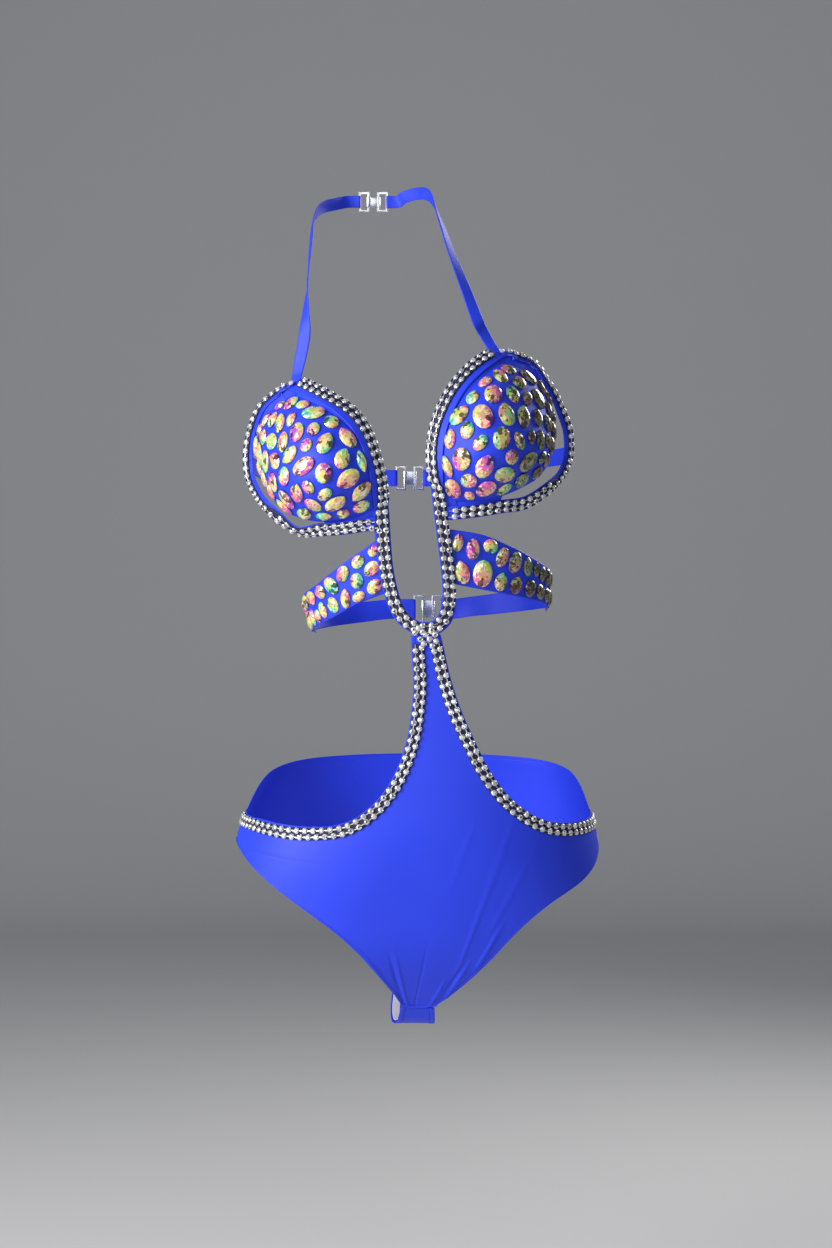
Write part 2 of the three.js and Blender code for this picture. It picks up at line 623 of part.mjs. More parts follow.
const tabLift = (layer.shell[0] + layer.shell[1]) / 2;
const tabs = {
  left: [stop(-52.5, 546, tabLift), stop(-51.5, 553, tabLift), stop(-50.5, 556 + tabLength, tabLift)],
  right: [stop(51.5, 544, tabLift), stop(50, 551, tabLift), stop(48, 554 + tabLength, tabLift)],
};
for (const hand of ["left", "right"]) {
  sheet(`${hand}_halter_tab`, finish.shell, [5, 1], ribbonOf(tabs[hand], strap.halter - 1), halfCloth);
}
sheet("left_halter_strap", finish.shell, [44, 1], ribbonOf([
  stop(-50.4, 557.6 + tabLength, tabLift),
  { point: vec(-95.5, -64, 580), normal: outward(-0.35, -0.93, 0.1) },
  { point: vec(-94.5, -60, 604), normal: outward(-0.85, -0.5, 0.1) },
  { point: vec(-93, -54, 630), normal: outward(-0.95, 0.1, 0.3) },
  { point: vec(-91.5, -36, 662), normal: outward(-0.97, -0.1, 0.25) },
  { point: vec(-90, -6, 690), normal: outward(-0.95, 0.1, 0.3) },
  { point: vec(-84, 24, 705), normal: outward(-0.8, 0.55, 0.2) },
  { point: vec(-72, 44, 712), normal: outward(-0.5, 0.85, 0.1) },
  ...hookStops(neckClasp),
], strap.halter), halfCloth);
sheet("right_halter_strap", finish.shell, [40, 1], ribbonOf([
  stop(47.9, 556.6 + tabLength, tabLift),
  { point: vec(53, -71, 592), normal: outward(0.3, -0.93, 0.2) },
  { point: vec(44.5, -64, 616), normal: outward(0.45, -0.85, 0.3) },
  { point: vec(32, -46, 652), normal: outward(0.7, -0.55, 0.45) },
  { point: vec(20.5, -18, 690), normal: outward(0.85, -0.2, 0.45) },
  { point: vec(12, 14, 714), normal: outward(0.9, 0.35, 0.2) },
  { point: vec(2, 36, 720), normal: outward(0.65, 0.75, 0.1) },
  { point: vec(-11, 50, 719), normal: outward(0.25, 0.96, 0) },
  ...eyeStops(neckClasp),
], strap.halter), halfCloth);

const crotch = ribbonOf(gusset, gussetWidth)(0.5, 0.5, 0);
group.position.copy(crotch).negate();
group.updateMatrixWorld(true);

export default group;
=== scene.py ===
import json
import math
import random

import bmesh
import bpy
import numpy as np
from mathutils import Matrix, Vector

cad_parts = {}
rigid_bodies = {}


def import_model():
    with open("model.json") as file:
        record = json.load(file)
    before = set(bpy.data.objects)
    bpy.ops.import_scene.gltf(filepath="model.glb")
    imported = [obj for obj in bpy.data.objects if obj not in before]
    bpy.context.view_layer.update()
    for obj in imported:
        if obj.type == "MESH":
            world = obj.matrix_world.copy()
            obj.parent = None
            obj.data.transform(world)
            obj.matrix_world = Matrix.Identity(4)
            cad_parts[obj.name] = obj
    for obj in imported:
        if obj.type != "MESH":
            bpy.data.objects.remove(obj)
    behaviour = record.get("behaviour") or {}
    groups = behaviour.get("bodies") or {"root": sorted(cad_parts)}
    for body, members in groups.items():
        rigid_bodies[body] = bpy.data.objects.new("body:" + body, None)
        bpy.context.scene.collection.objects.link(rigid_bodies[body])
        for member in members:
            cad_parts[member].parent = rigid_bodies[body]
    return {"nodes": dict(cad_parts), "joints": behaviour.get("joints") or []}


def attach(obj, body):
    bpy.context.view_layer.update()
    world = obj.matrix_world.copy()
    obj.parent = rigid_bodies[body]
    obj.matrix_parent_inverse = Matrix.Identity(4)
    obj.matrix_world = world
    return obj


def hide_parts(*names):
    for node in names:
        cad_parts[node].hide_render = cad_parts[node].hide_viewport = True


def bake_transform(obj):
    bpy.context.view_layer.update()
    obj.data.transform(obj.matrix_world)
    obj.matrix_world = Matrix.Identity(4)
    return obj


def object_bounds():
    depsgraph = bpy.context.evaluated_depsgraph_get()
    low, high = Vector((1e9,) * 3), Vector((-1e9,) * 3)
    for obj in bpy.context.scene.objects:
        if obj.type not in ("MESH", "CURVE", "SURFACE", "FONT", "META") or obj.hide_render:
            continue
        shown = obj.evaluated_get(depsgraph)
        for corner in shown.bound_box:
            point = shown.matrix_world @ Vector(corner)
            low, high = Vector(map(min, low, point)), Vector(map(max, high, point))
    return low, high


for leftover in list(bpy.data.objects):
    bpy.data.objects.remove(leftover)
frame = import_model()
cadLow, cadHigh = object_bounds()
print("frame loaded")

mm = 0.001

# ---- camera ----

lookout = {"lens": 72.1, "place": (0.0032, -2.2041, 0.3476)}
cameraData = bpy.data.cameras.new("camera")
cameraData.lens = lookout["lens"]
camera = bpy.data.objects.new("camera", cameraData)
camera.location = lookout["place"]
camera.rotation_euler = (math.pi / 2, 0, 0)
bpy.context.scene.collection.objects.link(camera)
bpy.context.scene.camera = camera


# ---- shader sums as plain expressions ----


def socketOf(thing):
    return thing.socket if isinstance(thing, Wire) else thing


class Wire:  # one output socket, which adds Math nodes as it is used in a sum
    def __init__(self, paint, socket):
        self.paint = paint
        self.socket = socket

    def sum(self, operation, first, second=None, third=None):
        values = {0: first}
        if second is not None:
            values[1] = second
        if third is not None:
            values[2] = third
        return self.paint.node("ShaderNodeMath", {"operation": operation}, values)

    def __add__(self, other):
        return self.sum("ADD", self, other)

    def __radd__(self, other):
        return self.sum("ADD", other, self)

    def __sub__(self, other):
        return self.sum("SUBTRACT", self, other)

    def __rsub__(self, other):
        return self.sum("SUBTRACT", other, self)

    def __mul__(self, other):
        return self.sum("MULTIPLY", self, other)

    def __rmul__(self, other):
        return self.sum("MULTIPLY", other, self)

    def __pow__(self, other):
        return self.sum("POWER", self, other)

    def sine(self):
        return self.sum("SINE", self)

    def size(self):
        return self.sum("ABSOLUTE", self)

    def clipped(self):
        return self.sum("MAXIMUM", self.sum("MINIMUM", self, 1.0), 0.0)


class Paint:  # one material and the nodes in it
    def __init__(self, name):
        self.material = bpy.data.materials.new(name)
        self.material.use_nodes = True
        self.tree = self.material.node_tree
        self.tree.nodes.clear()

    def node(self, kind, settings=None, values=None, output=0):
        made = self.tree.nodes.new(kind)
        for key, setting in (settings or {}).items():
            if key == "stops":
                ramp = made.color_ramp
                while len(ramp.elements) < len(setting):
                    ramp.elements.new(0.5)
                for element, (place, colour) in zip(ramp.elements, setting):
                    element.position = place
                    element.color = (*colour, 1)
            else:
                setattr(made, key, setting)
        for key, value in (values or {}).items():
            if isinstance(value, Wire):
                self.tree.links.new(value.socket, made.inputs[key])
            else:
                made.inputs[key].default_value = value
        return Wire(self, made.outputs[output]) if made.outputs else None

    def noise(self, where, scale, detail=2.0, rough=0.5):
        return self.node("ShaderNodeTexNoise", {}, {"Vector": where, "Scale": scale,
                                                    "Detail": detail, "Roughness": rough})

    def stretched(self, where, by):
        return self.node("ShaderNodeVectorMath", {"operation": "MULTIPLY"}, {0: where, 1: by})

    def mixed(self, share, low, high):
        return self.node("ShaderNodeMix", {"data_type": "RGBA"}, {0: share, 6: low, 7: high}, 2)

    def across(self, where):  # the first two parts of a place
        made = self.node("ShaderNodeSeparateXYZ", {}, {0: where})
        outs = made.socket.node.outputs
        return Wire(self, outs[0]), Wire(self, outs[1])

    def bumped(self, height, distance, strength=1.0):
        return self.node("ShaderNodeBump", {}, {"Height": height, "Distance": distance,
                                                "Strength": strength})

    def finish(self, values):
        shader = self.node("ShaderNodeBsdfPrincipled", {}, values)
        self.node("ShaderNodeOutputMaterial", {}, {"Surface": shader})
        return self.material

    def object(self):
        return self.node("ShaderNodeTexCoord", {}, {}, 3)

    def weave(self):
        return self.node("ShaderNodeUVMap", {"uv_map": "cut"})


def rgb(red, green, blue):
    return (red, green, blue, 1.0)


def stretchKnit(name, deep, light, sheen, rough):
    paint = Paint(name)
    cut = paint.weave()
    u, v = paint.across(cut)
    wale = (u * (2 * math.pi / (0.42 * mm))).sine()
    course = (v * (2 * math.pi / (0.55 * mm)) + wale * 0.9).sine()
    knit = wale.size() * 0.6 + course * 0.25
    cloud = paint.noise(paint.object(), 9.0, 3.0)
    fibre = paint.noise(paint.stretched(cut, (2400.0, 900.0, 1.0)), 1.0, 2.0)
    share = (cloud * 0.6 + fibre * 0.25 + knit * 0.12).clipped()
    handle = paint.noise(paint.object(), 55.0, 3.0)
    bump = paint.bumped(knit * 0.5 + fibre * 0.5 + handle * 1.5, 0.05 * mm, 0.6)
    return paint.finish({
        "Base Color": paint.mixed(share, deep, light),
        "Roughness": rough + (cloud - 0.5) * 0.12 + fibre * 0.05,
        "Normal": bump,
        "Specular IOR Level": 0.35,
        "Sheen Weight": sheen,
        "Sheen Roughness": 0.35,
        "Sheen Tint": light,
    })


def matteNet(name, deep, light):
    paint = Paint(name)
    cut = paint.weave()
    u, v = paint.across(cut)
    holes = (u * (2 * math.pi / (1.1 * mm))).sine() * (v * (2 * math.pi / (1.1 * mm))).sine()
    cloud = paint.noise(paint.object(), 14.0)
    return paint.finish({
        "Base Color": paint.mixed((cloud * 0.7 + holes.size() * 0.3).clipped(), deep, light),
        "Roughness": 0.78 + cloud * 0.15,
        "Normal": paint.bumped(holes.size(), 0.12 * mm, 0.7),
        "Specular IOR Level": 0.25,
        "Sheen Weight": 0.15,
    })


def mouldedFoam(name):
    paint = Paint(name)
    pores = paint.noise(paint.object(), 900.0, 4.0, 0.7)
    cloud = paint.noise(paint.object(), 30.0)
    return paint.finish({
        "Base Color": paint.mixed(cloud, rgb(0.66, 0.63, 0.58), rgb(0.8, 0.78, 0.74)),
        "Roughness": 0.85 + pores * 0.1,
        "Normal": paint.bumped(pores, 0.2 * mm, 0.5),
        "Specular IOR Level": 0.2,
    })


def ribbedElastic(name):
    paint = Paint(name)
    u, v = paint.across(paint.weave())
    ribs = (v * (2 * math.pi / (1.0 * mm))).sine()
    picks = (u * (2 * math.pi / (0.7 * mm))).sine()
    return paint.finish({
        "Base Color": paint.mixed((ribs * 0.5 + 0.5).clipped(), rgb(0.55, 0.55, 0.53), rgb(0.8, 0.8, 0.78)),
        "Roughness": 0.8 + picks * 0.05,
        "Normal": paint.bumped(ribs + picks * 0.4, 0.12 * mm, 0.8),
        "Specular IOR Level": 0.3,
    })


def foiledCrystal(name):
    paint = Paint(name)
    tint = paint.node("ShaderNodeAttribute", {"attribute_name": "tint"}, {})
    flaw = paint.noise(paint.object(), 420.0, 2.0)
    return paint.finish({
        "Base Color": tint,
        "Metallic": 0.2,
        "Roughness": 0.1 + flaw * 0.08,
        "Normal": paint.bumped(flaw, 0.04 * mm, 0.3),
        "Coat Weight": 0.7,
        "Coat Roughness": 0.05,
        # painted light: the crystals glow faintly in their own tint, as if lit
        "Emission Color": tint,
        "Emission Strength": 0.1,
    })


def chainStone(name):
    paint = Paint(name)
    tint = paint.node("ShaderNodeAttribute", {"attribute_name": "tint"}, {})
    flaw = paint.noise(paint.object(), 900.0, 2.0)
    return paint.finish({
        "Base Color": tint,
        "Metallic": 0.5,
        "Roughness": 0.12 + flaw * 0.1,
        "Normal": paint.bumped(flaw, 0.03 * mm, 0.3),
        "Coat Weight": 0.6,
        "Coat Roughness": 0.05,
        # painted light: the chain stones glow faintly in their own tint, as if lit
        "Emission Color": tint,
        "Emission Strength": 0.08,
    })


def platedMetal(name, deep, light, rough):
    paint = Paint(name)
    place = paint.object()
    brush = paint.noise(paint.stretched(place, (900.0, 900.0, 90.0)), 1.0, 3.0)
    wear = paint.noise(place, 160.0, 4.0)
    return paint.finish({
        "Base Color": paint.mixed(wear, deep, light),
        "Metallic": 1.0,
        "Roughness": rough + brush * 0.14,
        "Normal": paint.bumped(brush, 0.02 * mm, 0.3),
    })


# partly painted shade: the tape under the chains is near black so that the gaps between the stones look dark; this
# stands partly for a real tape and partly for the shade between the settings
def tapeAndGapShade(name):
    paint = Paint(name)
    u, v = paint.across(paint.weave())
    rib = (u * (2 * math.pi / (0.6 * mm))).sine()
    cloud = paint.noise(paint.object(), 60.0)
    return paint.finish({
        "Base Color": paint.mixed(cloud, rgb(0.006, 0.007, 0.035), rgb(0.014, 0.018, 0.09)),
        "Roughness": 0.45 + cloud * 0.2,
        "Normal": paint.bumped(rib, 0.06 * mm, 0.6),
        "Specular IOR Level": 0.4,
    })


def twistedThread(name, deep, light):
    paint = Paint(name)
    twist = paint.noise(paint.object(), 1500.0, 2.0)
    return paint.finish({
        "Base Color": paint.mixed(twist, deep, light),
        "Roughness": 0.6 + twist * 0.2,
        "Normal": paint.bumped(twist, 0.06 * mm, 0.6),
        "Specular IOR Level": 0.4,
    })


cloths = {
    "blue": stretchKnit("stretch_knit", rgb(0.014, 0.036, 0.62), rgb(0.024, 0.066, 0.93), 0.12, 0.5),
    "lining": matteNet("lining_net", rgb(0.012, 0.03, 0.36), rgb(0.022, 0.05, 0.52)),
    "foam": mouldedFoam("moulded_foam"),
    "elastic": ribbedElastic("ribbed_elastic"),
    "crystal": foiledCrystal("foiled_crystal"),
    "stone": chainStone("chain_stone"),
    "setting": platedMetal("plated_setting", rgb(0.6, 0.6, 0.63), rgb(0.86, 0.86, 0.88), 0.3),
    "clasp": platedMetal("plated_clasp", rgb(0.62, 0.62, 0.64), rgb(0.78, 0.78, 0.8), 0.2),
    "tape": tapeAndGapShade("tape_and_gap_shade"),
    "thread": twistedThread("twisted_thread", rgb(0.007, 0.016, 0.2), rgb(0.014, 0.035, 0.4)),
}
print("materials made")


# ---- surfaces read off the solid sheets of the part ----

def outerFace(name, middle, thick):
    shape = bmesh.new()
    shape.from_mesh(frame["nodes"][name].data)
    bmesh.ops.remove_doubles(shape, verts=shape.verts, dist=2e-6)
    shape.normal_update()

    def wall(face):  # a rim face has one edge that is just the cloth's thickness
        return any(abs(side.calc_length() - thick) < 4e-7 for side in face.edges)
    left = {face for face in shape.faces if not wall(face)}
    areas = []
    while left:
        first = left.pop()
        patch, edge = {first}, [first]
        while edge:
            face = edge.pop()
            for side in face.edges:
                for other in side.link_faces:
                    if other in left:
                        left.discard(other)
                        patch.add(other)
                        edge.append(other)
        areas.append(patch)
    areas.sort(key=len, reverse=True)

    def outwards(patch):
        total = 0
        for face in patch:
            centre = face.calc_center_median()
            away = centre - Vector((*middle, centre.z))
            total += face.normal.dot(away.normalized()) * face.calc_area()
        return total
    return shape, max(areas[:2], key=outwards)


def gridOf(name, across, start, thick, middle=(0, 0)):
    shape, patch = outerFace(name, middle, thick)
    counts = {}
    near = {}
    for face in patch:
        for vert in face.verts:
            counts[vert] = counts.get(vert, 0) + 1
            near.setdefault(vert, set()).update(v for v in face.verts if v != vert)
    rim = [e for e in shape.edges if sum(f in patch for f in e.link_faces) == 1]
    ring = {}
    for edge in rim:
        for vert in edge.verts:
            ring.setdefault(vert, []).append(edge.other_vert(vert))
    corners = [v for v in ring if counts[v] <= 2]
    if len(corners) != 4:
        raise ValueError(f"{name}: {len(corners)} corners")
    first = max(corners, key=lambda v: v.co.dot(Vector(start)))
    sides = []
    for step in ring[first]:
        side = [first, step]
        while side[-1] not in corners:
            side.append(next(v for v in ring[side[-1]] if v != side[-2]))
        sides.append(side)
    if len(sides[0]) != across + 1:
        sides.reverse()
    if len(sides[0]) != across + 1:
        raise ValueError(f"{name}: sides of {[len(s) - 1 for s in sides]} cells")
    rows = [sides[0]]
    for begin in sides[1][1:]:
        row = [begin]
        below = rows[-1]
        used = set(below)
        for i in range(1, len(below)):
            found = [v for v in near[row[-1]] & near[below[i]] if v not in used and v not in row]
            if len(found) != 1:
                raise ValueError(f"{name}: {len(found)} ways on")
            row.append(found[0])
        rows.append(row)
    points = np.array([[v.co[:] for v in row] for row in rows]).transpose(1, 0, 2)
    face = next(f for f in patch if first in f.verts)
    turn = np.cross(points[1, 0] - points[0, 0], points[0, 1] - points[0, 0])
    side = 1 if float(np.dot(turn, np.array(face.normal))) > 0 else -1
    shape.free()
    return points, side


def longer(points):
    grown = np.concatenate([2 * points[:1] - points[1:2], points, 2 * points[-1:] - points[-2:-1]])
    return grown


class Surface:  # a smooth surface through a grid of points
    def __init__(self, points, side=1):
        self.points = points
        self.side = side
        self.size = (points.shape[0] - 1, points.shape[1] - 1)
        grown = longer(points)
        self.grown = longer(grown.transpose(1, 0, 2)).transpose(1, 0, 2)

    def at(self, u, v, lift=0.0):
        u, v = np.broadcast_arrays(np.asarray(u, float), np.asarray(v, float))
        place = self.plain(u, v)
        if np.any(np.asarray(lift) != 0):
            place = place + self.normal(u, v) * np.asarray(lift)[..., None]
        return place

    def plain(self, u, v):
        spots, shares = [], []
        for t, count in ((u, self.size[0]), (v, self.size[1])):
            x = np.clip(t, 0, 1) * count
            i = np.minimum(x.astype(int), count - 1)
            f = x - i
            spots.append(i)
            shares.append((0.5 * (-f + 2 * f * f - f ** 3), 0.5 * (2 - 5 * f * f + 3 * f ** 3),
                           0.5 * (f + 4 * f * f - 3 * f ** 3), 0.5 * (f ** 3 - f * f)))
        total = 0
        for a in range(4):
            for b in range(4):
                weight = shares[0][a] * shares[1][b]
                total = total + weight[..., None] * self.grown[spots[0] + a, spots[1] + b]
        return total

    def ways(self, u, v):
        step = 2e-3
        along = self.plain(np.clip(u + step, 0, 1), v) - self.plain(np.clip(u - step, 0, 1), v)
        up = self.plain(u, np.clip(v + step, 0, 1)) - self.plain(u, np.clip(v - step, 0, 1))
        return unit(along), unit(up)

    def normal(self, u, v):
        along, up = self.ways(u, v)
        return unit(np.cross(along, up)) * self.side


def unit(vectors):
    return vectors / np.maximum(np.linalg.norm(vectors, axis=-1, keepdims=True), 1e-12)


def nodeSurface(name, across, start=(0, 0, -1), thick=1 * mm, middle=(0, 0)):
    return Surface(*gridOf(name, across, start, thick, middle))


def runs(points):
    return np.linalg.norm(np.diff(points, axis=0), axis=-1)


# ---- cloth pieces ----

def linked(name, mesh, body, material, smooth=True):
    piece = bpy.data.objects.new(name, mesh)
    bpy.context.scene.collection.objects.link(piece)
    mesh.materials.append(material)
    if smooth:
        for polygon in mesh.polygons:
            polygon.use_smooth = True
    if body:
        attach(piece, body)
    return piece


wornStretch = 0.93  # flat area for each unit of worn area
cuts, sewnOn = {}, {}


def sewn(piece, sheet):
    sewnOn.setdefault(sheet, []).append(piece)
    return piece


hem = {"width": 5.2 * mm, "rise": 0.35 * mm, "roll": 0.9 * mm, "stitchAt": 4.4 * mm, "dent": 0.5 * mm}
hemStops = [0, 0.25, 0.6, 1.1, 1.9, 3.0, 3.9, 4.4, 4.9, 5.5, 6.4]


def hemLift(distance):
    near = np.clip(1 - distance / hem["roll"], 0, 1)
    rolled = -0.5 * mm * (1 - np.sqrt(1 - near ** 2))
    folded = hem["rise"] * (0.5 - 0.5 * np.tanh((distance - hem["width"]) / (0.5 * mm)))
    dent = -hem["dent"] * np.exp(-((distance - hem["stitchAt"]) / (0.4 * mm)) ** 2)
    return rolled + folded + dent


def edgeSpaced(surface, count, fixed, hemAxis, hemmed):
    shares = np.zeros((len(fixed), count + 1))
    even = np.linspace(0, 1, count + 1)
    stops = np.array(hemStops) * mm
    probe = np.linspace(0, 1, 33)
    widths = []
    for row, place in enumerate(fixed):
        spots = np.full_like(probe, place)
        line = surface.plain(probe, spots) if hemAxis == "u" else surface.plain(spots, probe)
        along = np.concatenate([[0], np.cumsum(runs(line))])
        width = along[-1]
        widths.append(width)
        if hemmed:
            scale = min(1.0, width / (2.6 * stops[-1]))
            inner = np.linspace(stops[-1] * scale, width - stops[-1] * scale, count + 3 - 2 * len(stops))
            places = np.concatenate([stops[:-1] * scale, inner, width - stops[:-1][::-1] * scale])
        else:
            places = even * width
        shares[row] = np.interp(places, along, probe)
    return shares, np.array(widths)


def clothPiece(name, surface, cells, body, material, thickness=0.9 * mm, hemAxis="v", hemmed=True,
               lift=None, drop=0.0, slot="shell", held="stretched", edgeLift=None):
    count, rows = (cells[1], cells[0]) if hemAxis == "v" else (cells[0], cells[1])
    fixed = np.linspace(0, 1, rows + 1)
    shares, widths = edgeSpaced(surface, count, fixed, hemAxis, hemmed)
    other = np.repeat(fixed[:, None], count + 1, axis=1)
    u, v = (other, shares) if hemAxis == "v" else (shares, other)
    base = surface.plain(u, v)
    steps = np.linalg.norm(np.diff(base, axis=1), axis=-1)
    across = np.concatenate([np.zeros((rows + 1, 1)), np.cumsum(steps, axis=1)], axis=1)
    distance = np.minimum(across, across[:, -1:] - across)
    rise = hemLift(distance) if hemmed else np.zeros_like(distance)
    if edgeLift is not None:
        rise = rise + edgeLift(distance, other)
    if lift is not None:
        rise = rise + lift(base, u, v)
    points = base + surface.normal(u, v) * (rise - drop)[..., None]
    long = np.concatenate([[0], np.cumsum(runs(base).mean(axis=1))])
    shape = bmesh.new()
    bmesh.ops.create_grid(shape, x_segments=rows, y_segments=count, size=0.5)
    order = sorted(shape.verts, key=lambda vert: (round(vert.co.x, 6), round(vert.co.y, 6)))
    cut = shape.loops.layers.uv.new("cut")
    spots = {}
    for vert, (i, j) in zip(order, ((i, j) for i in range(rows + 1) for j in range(count + 1))):
        vert.co = points[i, j]
        spots[vert] = (long[i], across[i, j] - widths[i] / 2)
    for face in shape.faces:
        for loop in face.loops:
            loop[cut].uv = spots[loop.vert]
    shape.normal_update()
    i, j = rows // 2, count // 2
    wanted = surface.normal(u[i:i + 1, j:j + 1], v[i:i + 1, j:j + 1])[0, 0]
    spot = min(shape.faces, key=lambda face: (face.calc_center_median() - Vector(points[i, j])).length)
    if spot.normal.dot(Vector(wanted)) < 0:
        bmesh.ops.reverse_faces(shape, faces=shape.faces)
    mesh = bpy.data.meshes.new(name)
    shape.to_mesh(mesh)
    shape.free()
    piece = linked(name, mesh, body, material)
    wall = piece.modifiers.new("wall", "SOLIDIFY")
    wall.thickness = thickness
    wall.offset = -1
    areas = np.linalg.norm(np.cross(points[1:, :-1] - points[:-1, :-1],
                                    points[:-1, 1:] - points[:-1, :-1]), axis=-1).sum()
    wide, tall = max(widths.max(), 0.0101), runs(base)[:, count // 2].sum()
    if held:
        area = np.clip(wornStretch * areas, 0.301 * wide * tall, wide * tall)
        cuts[name] = {"piece": piece, "flat": (float(wide), float(tall)), "held": held, "area": float(area)}
    return piece


def trimmed(surface, spanU, spanV, cells):
    u, v = np.meshgrid(np.linspace(*spanU, cells[0] + 1), np.linspace(*spanV, cells[1] + 1), indexing="ij")
    return Surface(surface.plain(u, v), surface.side)


# ---- small repeated shapes ----

def steppedStone(sides, rings, name, shaped=None):
    shape = bmesh.new()
    bmesh.ops.create_circle(shape, cap_ends=True, radius=1, segments=sides)
    top = shape.faces[:][0]
    if top.normal.z < 0:
        bmesh.ops.reverse_faces(shape, faces=[top])
    last = 1.0
    for radius, height, twist in rings:
        made = bmesh.ops.extrude_face_region(shape, geom=[top])["geom"]
        verts = [g for g in made if isinstance(g, bmesh.types.BMVert)]
        bmesh.ops.delete(shape, geom=[top], context="FACES_ONLY")
        top = next(g for g in made if isinstance(g, bmesh.types.BMFace))
        rise = height - verts[0].co.z
        bmesh.ops.scale(shape, vec=(radius / last, radius / last, 1), verts=verts)
        bmesh.ops.translate(shape, vec=(0, 0, rise), verts=verts)
        if twist:
            bmesh.ops.rotate(shape, matrix=Matrix.Rotation(math.pi / sides, 3, "Z"), verts=verts)
        last = radius
    base = [e for e in shape.edges if e.is_boundary]
    bmesh.ops.contextual_create(shape, geom=base)
    bmesh.ops.triangulate(shape, faces=[f for f in shape.faces if len(f.verts) == 4])
    bmesh.ops.recalc_face_normals(shape, faces=shape.faces)
    if shaped:
        for vert in shape.verts:
            reach = math.hypot(vert.co.x, vert.co.y)
            if reach > 1e-6:
                vert.co.x *= shaped(vert.co.y / reach)
    mesh = bpy.data.meshes.new(name)
    shape.to_mesh(mesh)
    shape.free()
    return mesh


def marquise(y):
    return max(1 - y * y, 0.0) ** 0.33


def pear(y):
    return max(1 - y * y, 0.0) ** 0.3 if y > 0 else 1.0


stoneRings = [(1.0, 0.22, False), (0.8, 0.62, True), (0.52, 0.92, True), (0.3, 1.0, True)]
cutStones = {
    "oval": steppedStone(14, stoneRings, "oval_cut"),
    "marquise": steppedStone(14, stoneRings, "marquise_cut", marquise),
    "pear": steppedStone(14, stoneRings, "pear_cut", pear),
}
rainbow = [  # from the side that faces the window to the side away from it
    (0.02, 0.42, 0.6), (0.1, 0.78, 0.52), (0.62, 0.9, 0.22), (1.0, 0.85, 0.2), (1.0, 0.7, 0.4),
    (1.0, 0.32, 0.22), (0.92, 0.16, 0.48), (0.62, 0.06, 0.7), (0.24, 0.16, 0.8),
]


def rainbowAt(place):
    x = min(max(place, 0.0), 1.0) * (len(rainbow) - 1)
    i = min(int(x), len(rainbow) - 2)
    return np.array(rainbow[i]) * (1 - x + i) + np.array(rainbow[i + 1]) * (x - i)


def placed(shape, template, matrix):
    before = len(shape.faces)
    part = template.copy()
    part.transform(matrix)
    shape.from_mesh(part)
    bpy.data.meshes.remove(part)
    shape.faces.ensure_lookup_table()
    return shape.faces[before:]


def basis(origin, along, out, turn=0.0, size=(1, 1, 1)):
    out = Vector(out).normalized()
    x = Vector(along) - out * out.dot(Vector(along))
    x.normalize()
    y = out.cross(x)
    frameMatrix = Matrix((x, y, out)).transposed().to_4x4()
    frameMatrix.translation = Vector(origin)
    return frameMatrix @ Matrix.Rotation(turn, 4, "Z") @ Matrix.Diagonal((*size, 1))


# ---- crystals sewn on the cups and bands ----

def rimOf(matrix, kind):
    angles = np.linspace(0, 2 * math.pi, 16, endpoint=False)
    ring = np.stack([np.cos(angles), np.sin(angles), np.zeros(16), np.ones(16)], axis=1)
    if kind != "oval":
        bend = marquise if kind == "marquise" else pear
        ring[:, 0] *= [bend(y) for y in ring[:, 1]]
    return (ring @ np.array(matrix).T)[:, :3]


scatter = {"samples": 72, "rounds": 22, "sizes": (0.8, 1.0, 1.2), "gap": 1.5 * mm, "lean": 0.08,
           "stretch": 1.34, "turn": 0.5}


